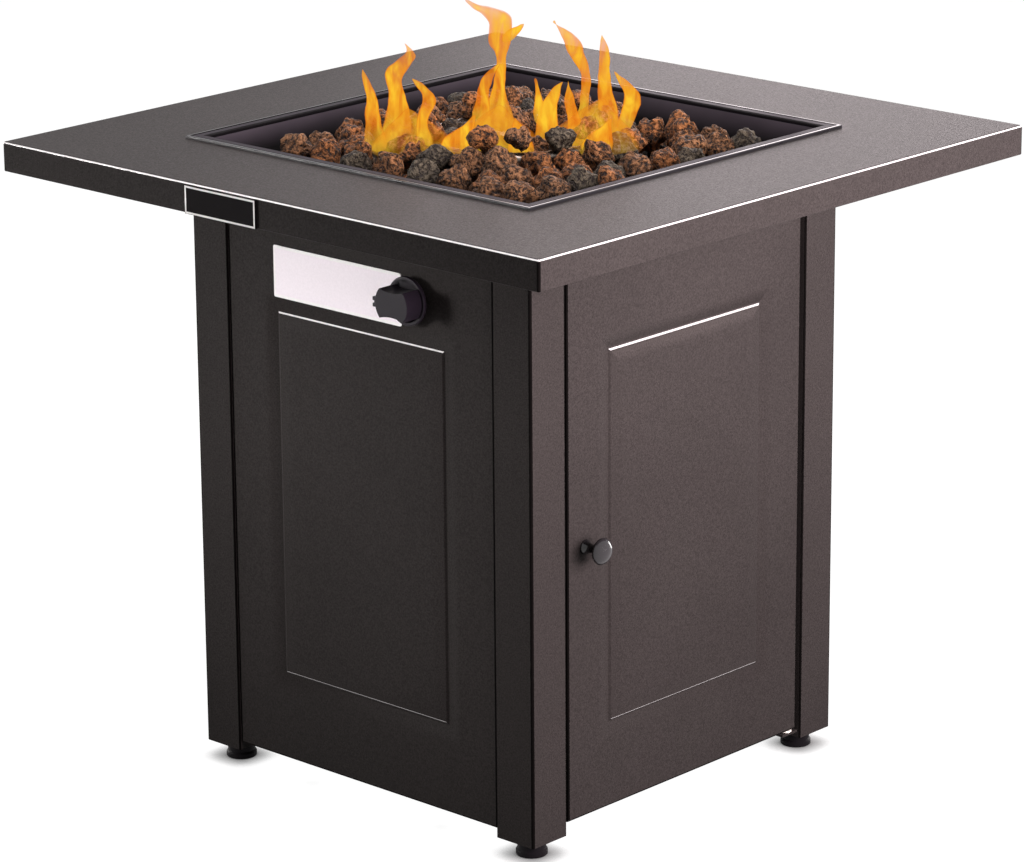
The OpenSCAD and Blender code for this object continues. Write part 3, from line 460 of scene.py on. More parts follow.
def pore_effect():
    """Spongy lava: a ragged crust, broken by gas holes of several sizes."""
    group, scale, ends, place = new_effect("gas_pores", ("Pores per metre", 170), ["Pores", "Height"])
    nodes, links = group.nodes, group.links
    shake = nodes.new("ShaderNodeVectorMath")
    shake.operation = "SCALE"
    shake.inputs["Scale"].default_value = 0.009
    links.new(add_noise(group, place, 60)["Color"], shake.inputs[0])
    moved = nodes.new("ShaderNodeVectorMath")
    links.new(place, moved.inputs[0])
    links.new(shake.outputs["Vector"], moved.inputs[1])
    holes = nodes.new("ShaderNodeTexVoronoi")
    holes.feature = "SMOOTH_F1"
    links.new(moved.outputs["Vector"], holes.inputs["Vector"])
    links.new(scale, holes.inputs["Scale"])
    round_holes = remap(group, holes.outputs["Distance"], 0.10, 0.40, 1, 0)
    finer = reckon(group, "MULTIPLY", scale, 1.6)
    ragged = add_noise(group, moved.outputs["Vector"], finer, 3, 0.7)["Fac"]
    gaps = remap(group, ragged, 0.40, 0.53, 1, 0)
    both = reckon(group, "MAXIMUM", round_holes, gaps)
    links.new(both, ends["Pores"])
    links.new(reckon(group, "SUBTRACT", ragged, both), ends["Height"])
    return group


# Sandy grains, slow drifts of tone, lines left by brushing along X, and gas holes
grain = noise_effect("fine_grain", ("Grains per metre", 600), ["Grain", "Height"], 2, (0.32, 0.68), 0.65)
drift = noise_effect("slow_drift", ("Drifts per metre", 6), ["Drift"], 3, (0.3, 0.7))
brush = noise_effect("brush_lines", ("Lines per metre", 900), ["Lines"], 2, (0.3, 0.7),
                     squeeze=(0.03, 1, 1))
pores = pore_effect()


# Finishes

class Finish:
    """A material under construction: its shader, and the steps that feed it."""

    def __init__(self, name, metallic=0.0, specular=0.5):
        self.material = bpy.data.materials.new(name)
        self.material.use_nodes = True
        self.tree = self.material.node_tree
        self.shader = self.tree.nodes["Principled BSDF"]
        self.shader.inputs["Metallic"].default_value = metallic
        self.shader.inputs["Specular IOR Level"].default_value = specular

    def effect(self, group, count):
        """Places an effect, with its count per metre."""
        node = self.tree.nodes.new("ShaderNodeGroup")
        node.node_tree = group
        node.inputs[0].default_value = count
        return node.outputs

    def between(self, factor, first, second):
        return blend(self.tree, factor, first, second)

    def colour(self, value):
        self.tree.links.new(value, self.shader.inputs["Base Color"])

    def rough(self, value, low, high):
        spread = remap(self.tree, value, 0, 1, low, high)
        self.tree.links.new(spread, self.shader.inputs["Roughness"])

    def bump(self, height, strength, depth):
        node = self.tree.nodes.new("ShaderNodeBump")
        node.inputs["Strength"].default_value = strength
        node.inputs["Distance"].default_value = depth
        self.tree.links.new(height, node.inputs["Height"])
        self.tree.links.new(node.outputs["Normal"], self.shader.inputs["Normal"])


def shade(colour, by):
    return tuple(part * by for part in colour)


def shade_of(finish, colour, by):
    """A colour that comes from other nodes, darkened."""
    return finish.between(1.0 - by, colour, (0.0, 0.0, 0.0))


def height_mask(finish, low, high):
    """From 0 at one height to 1 at another."""
    place = finish.tree.nodes.new("ShaderNodeTexCoord")
    part = finish.tree.nodes.new("ShaderNodeSeparateXYZ")
    finish.tree.links.new(place.outputs["Object"], part.inputs["Vector"])
    return remap(finish.tree, part.outputs["Z"], low, high)


def powder_coat(name, colour, specular, band=None):
    """Charcoal powder coat: sandy, with pale and dark grains, and along a band darker or paler by painted
    shade or painted light.
    """
    finish = Finish(name, specular=specular)
    specks = finish.effect(grain, 620)
    tone = finish.effect(drift, 5)

    def sandy(by):
        slow = finish.between(tone["Drift"], shade(colour, 1.0 * by), shade(colour, 1.18 * by))
        dark = finish.between(tone["Drift"], shade(colour, 0.57 * by), shade(colour, 0.67 * by))
        return finish.between(specks["Grain"], dark, slow)

    if band is None:
        finish.colour(sandy(1))
    else:
        # A band of painted shade or painted light, fading in between two heights
        by, plain, full = band
        finish.colour(finish.between(height_mask(finish, plain, full), sandy(1), sandy(by)))
    finish.rough(specks["Grain"], 0.62, 0.5)
    finish.bump(specks["Height"], 0.7, 0.0003)
    return finish.material


def painted_fold_light(name, shine_level):
    """Pale, partly metallic tone speckled by grains: a painted highlight along a sharp fold."""
    finish = Finish(name, metallic=0.6)
    specks = finish.effect(grain, 400)
    shine_patches = finish.effect(drift, 9)
    shine_tone = finish.between(specks["Grain"], shade((0.62, 0.59, 0.58), shine_level), shade((0.92, 0.90, 0.90), shine_level))
    finish.colour(finish.between(shine_patches["Drift"], shine_tone, shade((0.95, 0.93, 0.93), shine_level)))
    finish.rough(specks["Grain"], 0.5, 0.32)
    return finish.material


def enamel(name, colour, roughness, specular=0.5):
    """Fired or sprayed gloss with a slight orange peel."""
    finish = Finish(name, specular=specular)
    peel = finish.effect(grain, 140)
    tone = finish.effect(drift, 14)
    finish.colour(finish.between(tone["Drift"], shade(colour, 0.8), shade(colour, 1.25)))
    finish.rough(tone["Drift"], roughness * 0.85, roughness * 1.2)
    finish.bump(peel["Height"], 0.12, 0.0004)
    return finish.material


def shaded_enamel(name):
    """Blue-black enamel on a leaning wall, darkened by painted shade to near black towards the floor."""
    finish = Finish(name, specular=0.05)
    tone = finish.effect(drift, 14)
    peel = finish.effect(grain, 140)
    unshaded = height_mask(finish, pan_high.z - painted_shade_depth, pan_high.z - unshaded_depth)
    lit_tone = finish.between(tone["Drift"], (0.034, 0.029, 0.036), (0.048, 0.041, 0.050))
    finish.colour(finish.between(unshaded, (0.003, 0.0025, 0.0028), lit_tone))
    finish.rough(tone["Drift"], 0.42, 0.6)
    finish.bump(peel["Height"], 0.12, 0.0004)
    return finish.material


def moulded(name, colour, roughness, grains=900, specular=0.5):
    """Moulded plastic or rubber with a fine grain."""
    finish = Finish(name, specular=specular)
    specks = finish.effect(grain, grains)
    tone = finish.effect(drift, 30)
    finish.colour(finish.between(tone["Drift"], shade(colour, 0.85), shade(colour, 1.12)))
    finish.rough(specks["Grain"], roughness * 0.88, roughness * 1.1)
    finish.bump(specks["Height"], 0.12, 0.0002)
    return finish.material


def bare_metal(name, colour, roughness, lines=900):
    """Drawn or plated metal with fine lines and slow stains."""
    finish = Finish(name, metallic=1.0)
    marks = finish.effect(brush, lines)
    tone = finish.effect(drift, 25)
    stained = finish.between(tone["Drift"], shade(colour, 0.78), colour)
    finish.colour(finish.between(marks["Lines"], stained, shade(colour, 1.06)))
    finish.rough(marks["Lines"], roughness * 0.8, roughness * 1.25)
    finish.bump(marks["Lines"], 0.08, 0.0001)
    return finish.material


def heated_steel(name):
    """Dark stainless tube with patches of straw heat tint."""
    finish = Finish(name, metallic=1.0)
    marks = finish.effect(brush, 700)
    heat = finish.effect(drift, 38)
    steel = finish.between(marks["Lines"], (0.10, 0.095, 0.09), (0.22, 0.21, 0.20))
    straw = finish.between(heat["Drift"], steel, (0.15, 0.10, 0.06))
    finish.colour(finish.between(0.6, steel, straw))
    finish.rough(marks["Lines"], 0.22, 0.38)
    finish.bump(marks["Lines"], 0.08, 0.0001)
    return finish.material


def printed(name, colour, roughness):
    """Printed aluminium plate: even, with a faint satin mottle."""
    finish = Finish(name)
    specks = finish.effect(grain, 420)
    finish.colour(finish.between(specks["Grain"], shade(colour, 0.95), colour))
    finish.rough(specks["Grain"], roughness * 0.85, roughness * 1.15)
    return finish.material


def lava(name, rust, brown, ash):
    """Porous lava: each stone leans to rust, brown or ash, and its holes are painted near black as shade.
    """
    finish = Finish(name, specular=0.3)
    stone = finish.tree.nodes.new("ShaderNodeAttribute")
    stone.attribute_name = "stone_tone"
    holes = finish.effect(pores, 150)
    tone = finish.effect(drift, 60)
    dust = finish.effect(grain, 700)
    warm = remap(finish.tree, stone.outputs["Fac"], 0.25, 0.45)
    grey = remap(finish.tree, stone.outputs["Fac"], 0.70, 0.85)
    body = finish.between(grey, finish.between(warm, rust, brown), ash)
    patched = finish.between(tone["Drift"], shade_of(finish, body, 0.55), body)
    crust = finish.between(dust["Grain"], shade_of(finish, patched, 0.6), patched)
    # The holes are painted near black: painted shade
    finish.colour(finish.between(holes["Pores"], crust, (0.010, 0.006, 0.005)))
    finish.rough(dust["Grain"], 0.9, 0.6)
    finish.bump(holes["Height"], 1.0, 0.0030)
    return finish.material


coat_colour = (0.0252, 0.0218, 0.0211)
body_gloss = 0.035
# Each finish: its name, how it is made, and its values, of which the first is mostly its colour
finish_rows = [
    ("top_coat", powder_coat, coat_colour, 0.10),
    ("body_coat", powder_coat, coat_colour, body_gloss),
    ("pan_enamel", shaded_enamel),
    ("burner_steel", heated_steel),
    ("zinc_steel", bare_metal, (0.60, 0.61, 0.62), 0.34),
    ("black_steel", enamel, (0.020, 0.019, 0.019), 0.4),
    ("brass", bare_metal, (0.66, 0.48, 0.20), 0.28),
    ("valve_alloy", bare_metal, (0.56, 0.54, 0.51), 0.42, 400),
    ("knob_plastic", enamel, (0.012, 0.009, 0.0135), 0.36, 0.12),
    ("pull_enamel", enamel, (0.012, 0.011, 0.012), 0.16),
    ("plate_white", printed, (0.93, 0.86, 0.93), 0.45),
    ("badge_black", enamel, (0.004, 0.003, 0.0035), 0.4, 0.02),
    ("foot_rubber", moulded, (0.006, 0.005, 0.006), 0.6, 700, 0.08),
    ("nylon", moulded, (0.74, 0.71, 0.65), 0.45),
    ("catch_plastic", moulded, (0.30, 0.30, 0.30), 0.5),
    ("piezo_plastic", moulded, (0.03, 0.03, 0.03), 0.42),
    ("electrode_ceramic", moulded, (0.78, 0.75, 0.68), 0.25, 300),
    ("lead_jacket", moulded, (0.42, 0.05, 0.035), 0.4),
    ("lava_rust", lava, (0.33, 0.125, 0.046), (0.24, 0.115, 0.053), (0.10, 0.083, 0.058)),
    ("lava_brown", lava, (0.42, 0.17, 0.060), (0.32, 0.158, 0.074), (0.13, 0.108, 0.076)),
]
FINISHES = {name: make(name, *values) for name, make, *values in finish_rows}
plate_edge = printed("plate_edge", (0.93, 0.92, 0.93), 0.4)
# Painted highlights for folds that face the light, one full and one softer
fold_painted_shine = painted_fold_light("painted_shine_fold", 0.85)
fold_painted_glint = painted_fold_light("painted_glint_fold", 0.5)
# Door coats with painted shade on the slope above the crest and painted light on the bevel below it
hollow = (hollow_shade_level, crest_high + slope_w, crest_high + hollow_foot)
hollow_painted_shade = powder_coat("hollow_painted_shade", coat_colour, body_gloss, hollow)
brow_foot = crest_high - step_w - bevel_w
brow_painted_light = powder_coat("brow_painted_light", coat_colour, body_gloss, (brow_light_level, brow_foot, brow_foot + brow_fade))
# Near-black painted shade for folds, corners and seams
painted_shade_fold = enamel("painted_shade_fold", (0.0030, 0.0026, 0.0025), 0.6, 0.01)
rim_band = enamel("rim_band", (0.030, 0.027, 0.032), 0.5, 0.02)
rim_bead = enamel("rim_bead", (0.014, 0.013, 0.015), 0.3, 0.45)
# Near-black painted shade in the rim's groove and along its lip
rim_painted_shade = enamel("rim_painted_shade", (0.003, 0.0026, 0.003), 0.6, 0.01)
badge_line = printed("badge_line", (0.80, 0.79, 0.78), 0.4)


def clad_frame():
    """Gives every node of the frame the finish that its record names."""
    for part in frame["record"]["subparts"]:
        node = frame["nodes"][part["node"]]
        for slot in node.material_slots:
            slot.material = FINISHES[part["material_slot"]]


# Sheet-metal pieces

def fold_tabletop():
    """One sheet folded down on four sides, with a hem turned in and a square opening."""
    low, high = table_low, table_high
    top = add_block("table_top", low, high)
    clad(top, FINISHES["top_coat"], fold_painted_shine, painted_shade_fold, FINISHES["body_coat"])
    edit(top)
    pick(top, "FACE", lambda face: face.normal.z < -straight)
    bpy.ops.mesh.delete(type="FACE")
    pick(top, "FACE", lambda face: face.normal.z > straight)
    bpy.ops.mesh.inset(thickness=high.x - opening_half)
    bpy.ops.mesh.delete(type="FACE")
    pick(top, "EDGE", lambda edge: middle(edge).z < low.z + tiny)
    bpy.ops.mesh.extrude_region_move()
    shrink = 1 - hem / high.x
    bpy.ops.transform.resize(value=(shrink, shrink, 1), center_override=(0, 0, low.z))

    def on_fold(edge):
        spot = middle(edge)
        at_x = abs(abs(spot.x) - high.x) < tiny
        at_y = abs(abs(spot.y) - high.y) < tiny
        return at_x + at_y + (spot.z > high.z - tiny) > 1

    def is_upright(face):
        return abs(face.normal.z) < upright_lean

    def is_corner(face):
        return is_upright(face) and min(abs(face.normal.x), abs(face.normal.y)) > corner_lean

    round_edges(top, top_fold, 5, on_fold)
    # Fold faces that lean up get a painted highlight, the upright sides the body coat, and the upright
    # corners painted shade
    paint_faces(top, fold_painted_shine, lambda face: top_shine[0] < face.normal.z < top_shine[1])
    paint_faces(top, FINISHES["body_coat"], is_upright)
    paint_faces(top, painted_shade_fold, is_corner)

    def on_hem(edge):
        return (middle(edge).z < low.z + tiny and len(edge.link_faces) == 2
                and sum(abs(face.normal.z) > straight for face in edge.link_faces) == 1)

    round_edges(top, hem_fold, 3, on_hem)
    leave()
    thicken(top, top_t)
    smooth(top)
    stand_for(top, "table", "top_coat", "tabletop")


def fold_post(name, node, side):
    """Angle post with flanges turned in, and the plate that takes its foot."""
    corner = -body_half
    inner = corner + post_leg
    low, mid, high = post_low.z, return_top, post_high.z
    post = draw_line(name, [(inner, corner + return_d, low), (inner, corner, low), (corner, corner, low),
                            (corner, inner, low), (corner + return_d, inner, low)])
    pick_all()
    draw_out((0, 0, mid - low))

    def on_legs(edge):
        return (middle(edge).z > mid - tiny
                and (all(abs(v.co.x - corner) < tiny for v in edge.verts)
                     or all(abs(v.co.y - corner) < tiny for v in edge.verts)))

    pick(post, "EDGE", on_legs)
    draw_out((0, 0, high - mid))

    def on_fold(edge, reach):
        spot = middle(edge)
        upright = abs(along(edge).z) > straight and len(edge.link_faces) == 2
        return upright and abs(max(spot.x, spot.y) - reach) < tiny and min(spot.x, spot.y) < corner + tiny

    for reach, width, steps in ((corner, post_fold, 4), (inner, post_edge, 3)):
        round_edges(post, width, steps, lambda edge: on_fold(edge, reach))
    clad(post, FINISHES["body_coat"], painted_shade_fold)

    # The post's outer corner fold and inner edge fold get painted shade
    def is_round(face):
        near, far = sorted(face.calc_center_median().xy)
        return far < corner + post_fold or (far > inner - post_edge and near < corner + post_edge)

    paint_faces(post, painted_shade_fold, is_round)
    pick(post, "FACE", lambda face: abs(face.calc_center_median().y - corner) < tiny)
    shape = bmesh.from_edit_mesh(post.data)
    outward = sum(face.normal.y for face in shape.faces if face.select) < 0
    pick_all()
    if not outward:
        bpy.ops.mesh.flip_normals()
    leave()
    thicken(post, post_t)
    plate = add_block(name + "_plate", Vector((corner + post_t / 2, corner + post_t / 2, low)),
                      Vector((inner - post_t / 2, inner - post_t / 2, low + foot_plate_t)))
    finish_with(plate, "BEVEL", width=foot_plate_round, segments=2)
    clad(plate, FINISHES["body_coat"])
    join(post, plate)
    smooth(post)
    settle(post, turn=(0, 0, math.radians(90 * side)))
    stand_for(post, "table", "body_coat", node)


def press_sheet(name, half_w, low, high, shine_from, painted_bands=False):
    """Sheet in the XZ plane, facing -Y, with the pressed rectangle; left in edit mode."""
    pick_none()
    bpy.ops.mesh.primitive_plane_add(size=1)
    sheet = named(name)
    clad(sheet, FINISHES["body_coat"], fold_painted_shine, painted_shade_fold, fold_painted_glint, hollow_painted_shade, brow_painted_light)
    sheet.scale = (2 * half_w, high - low, 1)
    settle(sheet, turn=(math.pi / 2, 0, 0), to=(0, 0, (low + high) / 2))
    edit(sheet)
    outer = crest_half + slope_w
    cuts = [((side * outer, 0, 0), (1, 0, 0)) for side in (-1, 1)]
    cuts += [((0, 0, level), (0, 0, 1)) for level in (crest_low - slope_w, crest_high + slope_w)]
    for spot, across in cuts:
        pick_all()
        bpy.ops.mesh.bisect(plane_co=spot, plane_no=across)

    def in_middle(face):
        spot = face.calc_center_median()
        return abs(spot.x) < tiny and abs(spot.z - crest_mid) < tiny

    pick(sheet, "FACE", in_middle)
    bpy.ops.mesh.inset(thickness=slope_w, depth=-slope_d)
    bpy.ops.mesh.inset(thickness=step_w, depth=step_d)
    bpy.ops.mesh.inset(thickness=bevel_w, depth=slope_d - step_d)

    def on_frame(edge, inset, depth):
        spot = middle(edge)
        reach_x = crest_half - inset
        reach_z = (crest_high - crest_low) / 2 - inset
        on_x = abs(abs(spot.x) - reach_x) < tiny and abs(spot.z - crest_mid) < reach_z + tiny
        on_z = abs(abs(spot.z - crest_mid) - reach_z) < tiny and abs(spot.x) < reach_x + tiny
        return abs(spot.y - depth) < tiny and (on_x or on_z)

    folds = [(-slope_w, 0, brow_fold, 4), (step_w + bevel_w, 0, brow_fold, 4),
             (0, slope_d, foot_fold, 2), (step_w, slope_d - step_d, step_fold, 3)]
    for inset, depth, width, steps in folds:
        round_edges(sheet, width, steps, lambda edge: on_frame(edge, inset, depth))

    def is_upper(face):
        return face.calc_center_median().z > crest_mid

    # Upper faces that lean up get a painted highlight, and lower ones a softer painted glint
    paint_faces(sheet, fold_painted_shine, lambda face: is_upper(face) and face.normal.z > shine_from)
    paint_faces(sheet, fold_painted_glint, lambda face: not is_upper(face)
                and glint_lean[0] < face.normal.z < glint_lean[1])
    # On the door, painted shade on the slope above the crest and painted light on the bevel below it
    if painted_bands:
        paint_faces(sheet, hollow_painted_shade, lambda face: is_upper(face) and face.normal.z < hollow_lean)
        paint_faces(sheet, brow_painted_light, lambda face: is_upper(face)
                    and brow_lean[0] < face.normal.z < brow_lean[1])
    return sheet


def fold_flange(sheet, test, depth):
    """Folds a flange inwards along the outer edges that pass a test."""
    pick(sheet, "EDGE", lambda edge: len(edge.link_faces) == 1 and abs(middle(edge).y) < tiny
         and test(edge))
    draw_out((0, depth, 0))


def soften_folds(sheet):
    """Rounds the folds between a sheet and its flanges, and gives the sheet its thickness."""
    def on_fold(edge):
        if len(edge.link_faces) != 2:
            return False
        in_sheet = sum(abs(face.normal.y) > flat_on for face in edge.link_faces)
        return in_sheet == 1 and edge.calc_face_angle() > sharp_turn

    round_edges(sheet, sheet_fold, 3, on_fold)
    # The rounded folds to the flanges get painted shade
    bpy.ops.mesh.select_mode(type="FACE")
    paint_picked(sheet, painted_shade_fold)
    leave()
    thicken(sheet, panel_t)
    smooth(sheet, 25)


def fixed_panel(name, node, side):
    low, high = panel_low.z, panel_high.z
    panel = press_sheet(name, panel_half, low, high, panel_shine)
    pick_all()
    bpy.ops.mesh.bisect(plane_co=(0, 0, return_top), plane_no=(0, 0, 1))
    fold_flange(panel, lambda edge: abs(along(edge).z) > straight
                and middle(edge).z < return_top, panel_flange)
    fold_flange(panel, lambda edge: middle(edge).z < low + tiny, sole_flange)
    soften_folds(panel)
    settle(panel, to=(0, -panel_face, 0))
    if node == "control_panel":
        hole = add_round("neck_hole", neck_hole_r, -neck_cut, neck_cut)
        settle(hole, turn=(math.pi / 2, 0, 0), to=(knob_x, -panel_face, knob_z))
        cut_away(panel, hole)
    settle(panel, turn=(0, 0, math.radians(90 * side)))
    stand_for(panel, "table", "body_coat", node)


def press_door():
    low, high = door_low.z, door_high.z
    door = press_sheet("door_leaf_sheet", door_half, low, high, door_shine, painted_bands=True)
    for level in (low, high):
        fold_flange(door, lambda edge: abs(middle(edge).z - level) < tiny, panel_flange)
    fold_flange(door, lambda edge: abs(abs(middle(edge).x) - door_half) < tiny, panel_flange)
    soften_folds(door)
    settle(door, to=(0, -panel_face, 0))
    settle(door, turn=(0, 0, math.pi / 2))
    stand_for(door, "door_leaf", "body_coat", "door")


def press_pan():
    """Pan with a beaded rim, a flat band, leaning walls and a floor."""
    pick_none()
    bpy.ops.mesh.primitive_plane_add(size=2 * rim_half, location=(0, 0, pan_high.z))
    pan = named("fire_pan")
    settle(pan, to=pan.location)
    floor_z = pan_low.z + pan_t
    edit(pan)
    pick_all()
    for width, depth in ((bead_w, 0), (groove_w, -groove_d), (groove_w, 0), (groove_w, groove_d * 0.7)):
        bpy.ops.mesh.inset(thickness=width, depth=depth)
    level = pan_high.z - groove_d * 0.3
    bpy.ops.mesh.inset(thickness=band_half - pan_wall_half)
    bpy.ops.mesh.inset(thickness=pan_lean, depth=floor_z - level)

    def on_square(edge, reach, height):
        spot = middle(edge)
        return abs(max(abs(spot.x), abs(spot.y)) - reach) < tiny and abs(spot.z - height) < tiny

    round_edges(pan, pan_lip, 5, lambda edge: on_square(edge, pan_wall_half, level))
    round_edges(pan, pan_cove, 4, lambda edge: on_square(edge, pan_wall_half - pan_lean, floor_z))
    pick(pan, "EDGE", lambda edge: len(edge.link_faces) == 1)
    draw_out((0, 0, table_high.z - pan_high.z))
    round_edges(pan, bead_round, 4, lambda edge: on_square(edge, rim_half, pan_high.z))
    clad(pan, FINISHES["pan_enamel"], rim_band, rim_bead, rim_painted_shade)

    def is_rim(face, near, far):
        spot = face.calc_center_median()
        return near < max(abs(spot.x), abs(spot.y)) < far and spot.z > pan_high.z - rim_depth

    # The groove and the lip, where the rim turns down into the wall, get near-black painted shade
    rings = [(rim_band, pan_wall_half, band_half), (rim_bead, band_half, 2 * rim_half),
             (rim_painted_shade, band_half, rim_half - bead_w),
             (rim_painted_shade, pan_wall_half - pan_lip, pan_wall_half + pan_lip)]
    for finish, near, far in rings:
        paint_faces(pan, finish, lambda face: is_rim(face, near, far))
    leave()
    thicken(pan, pan_t)
    smooth(pan)
    stand_for(pan, "table", "pan_enamel", "burner_pan")


# Knobs and plates

def shape_knob():
    """Control knob along +Z: round flange, grip with hollowed sides, notched pointer."""
    back = -panel_face - knob_high.y
    front = -panel_face - knob_low.y
    knob = add_round("gas_knob", flange_r, back, back + flange_t)
    finish_with(knob, "BEVEL", width=flange_round, segments=4, limit_method="ANGLE")
    grip = add_round("knob_grip", grip_r, back + flange_t - overlap, front, 128)
    scoops = []
    for side in (-1, 1):
        scoop = add_round("knob_scoop", scoop_r, back + flange_t, front + scoop_room, 256)
        settle(scoop, to=(0, side * (scoop_r + waist), 0))
        scoops.append(scoop)
    cut_away(grip, *scoops)
    for part in (knob, grip):
        cut_away(part, add_round("spring_room", spring_room_r, back - overlap, back + spring_well, 48))
    cut_away(grip, add_round("spindle_room", spindle_hole, back - overlap, front - knob_crown, 48))
    finish_with(grip, "BEVEL", width=grip_round, segments=4, limit_method="ANGLE",
                angle_limit=math.radians(35))
    pointer = add_block("knob_pointer", Vector((-grip_r - pointer_d, -pointer_w / 2, front - pointer_l)),
                        Vector((-grip_r + pointer_d, pointer_w / 2, front - pointer_sink)))
    tip = -grip_r - pointer_d
    notch = add_block("knob_notch", Vector((tip - overlap, -notch_w / 2, front - pointer_l - overlap)),
                      Vector((tip + notch_d, notch_w / 2, front + overlap)))
    cut_away(pointer, notch)
    finish_with(pointer, "BEVEL", width=pointer_round, segments=3, limit_method="ANGLE")
    join(knob, grip, pointer)
    smooth(knob, 40)
    settle(knob, turn=(math.pi / 2, 0, 0), to=(knob_x, -panel_face, knob_z))
    clad(knob, FINISHES["knob_plastic"])
    stand_for(knob, "knob", "knob_plastic", "control_knob")


def turn_pull():
    """Door knob turned round its axis: flared base, narrow waist, domed head."""
    length = pull_high.x - pull_low.x
    head_r = (pull_high.z - pull_low.z) / 2
    dome_r = (head_r ** 2 + pull_dome ** 2) / (2 * pull_dome)
    shank = [(0, 0), (pull_base_r, 0), (pull_base_r, 0.0012), (pull_base_r - 0.0006, 0.0022),
             (pull_waist_r + 0.0012, 0.0045), (pull_waist_r + 0.0002, 0.007), (pull_waist_r, 0.009),
             (pull_waist_r + 0.0003, 0.0115), (pull_waist_r + 0.0014, 0.0138),
             (head_r - 0.005, length - 0.0130), (head_r - 0.0022, length - 0.0116),
             (head_r - 0.0006, length - 0.0099), (head_r, length - 0.0081)]
    crown = []
    full = math.asin(head_r / dome_r)
    for step in range(1, crown_steps + 1):
        lean = full * (1 - step / crown_steps)
        crown.append((dome_r * math.sin(lean) * crown_fit, length - dome_r * (1 - math.cos(lean))))
    pull = draw_line("door_pull", [(radius, 0, rise) for radius, rise in shank + crown])
    pick_all()
    bpy.ops.mesh.spin(steps=pull_sides, angle=2 * math.pi, center=(0, 0, 0), axis=(0, 0, 1))
    pick_all()
    bpy.ops.mesh.remove_doubles(threshold=tiny)
    bpy.ops.mesh.normals_make_consistent(inside=False)
    leave()
    smooth(pull, 50)
    settle(pull, turn=(0, math.pi / 2, 0), to=(pull_low.x, (pull_low.y + pull_high.y) / 2, crest_mid))
    clad(pull, FINISHES["pull_enamel"])
    stand_for(pull, "door_leaf", "pull_enamel", "door_knob")


def face_front(plate):
    pick(plate, "FACE", lambda face: face.normal.y < -straight)


def round_corners(plate, radius):
    round_edges(plate, radius, 4, lambda edge: abs(along(edge).y) > straight)


def make_badge():
    """Blank badge on the folded edge, with a pale line round its face."""
    badge = add_block("edge_badge", *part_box("badge_plate"))
    clad(badge, FINISHES["badge_black"], badge_line)
    edit(badge)
    face_front(badge)
    bpy.ops.mesh.inset(thickness=badge_margin)
    paint_picked(badge, badge_line)
    bpy.ops.mesh.inset(thickness=badge_line_w)
    paint_picked(badge, FINISHES["badge_black"])
    round_corners(badge, badge_margin * 0.7)
    leave()
    smooth(badge)
    stand_for(badge, "table", "badge_black", "badge_plate")


def make_guide():
    """Blank instruction plate with a white margin round its tinted field."""
    guide = add_block("guide_plate", *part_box("instruction_plate"))
    clad(guide, plate_edge, FINISHES["plate_white"])
    edit(guide)
    face_front(guide)
    bpy.ops.mesh.inset(thickness=guide_margin)
    paint_picked(guide, FINISHES["plate_white"])
    round_corners(guide, guide_margin * 0.6)
    leave()
    smooth(guide)
    stand_for(guide, "table", "plate_white", "instruction_plate")


# Lava rocks: how much the stones swell, then each kind of lump, its size and its height
stone_swell = 0.0010
STONE_LUMPS = [("CLOUDS", 0.024, 0.013), ("VORONOI", 0.016, 0.008), ("CLOUDS", 0.006, 0.0045)]


def give_tones(stones, seed):
    """Gives each stone one tone, from rust through brown to ash."""
    chance = random.Random(seed)
    shape = bmesh.new()
    shape.from_mesh(stones.data)
    shape.verts.ensure_lookup_table()
    tones = [None] * len(shape.verts)
    for corner in shape.verts:
        if tones[corner.index] is not None:
            continue
        tone = chance.random()
        waiting = [corner]
        tones[corner.index] = tone
        while waiting:
            here = waiting.pop()
            for edge in here.link_edges:
                there = edge.other_vert(here)
                if tones[there.index] is None:
                    tones[there.index] = tone
                    waiting.append(there)
    shape.free()
    layer = stones.data.attributes.new("stone_tone", "FLOAT", "POINT")
    layer.data.foreach_set("value", tones)


def roughen_stones(name, node, slot, seed, finer):
    """Lava stones: the frame's plain stones, swollen and made lumpy."""
    source = frame["nodes"][node]
    stones = bpy.data.objects.new(name, source.data.copy())
    bpy.context.scene.collection.objects.link(stones)
    edit(stones)
    pick_all()
    bpy.ops.mesh.remove_doubles(threshold=tiny)
    leave()
    give_tones(stones, seed)
    edit(stones)
    pick_all()
    for _ in range(finer):
        bpy.ops.mesh.subdivide(number_cuts=1, smoothness=0.25)
    bpy.ops.transform.shrink_fatten(value=stone_swell)
    leave()
    for kind, size, depth in STONE_LUMPS:
        lumps = bpy.data.textures.new(f"{name}_lumps", kind)
        lumps.noise_scale = size
        finish_with(stones, "DISPLACE", texture=lumps, strength=depth, mid_level=0.45,
                    texture_coords="LOCAL")
    smooth(stones, 60)
    clad(stones, FINISHES[slot])
    stand_for(stones, "table", slot, node)


# Burning gas over the rocks, shown with the table and no part of it

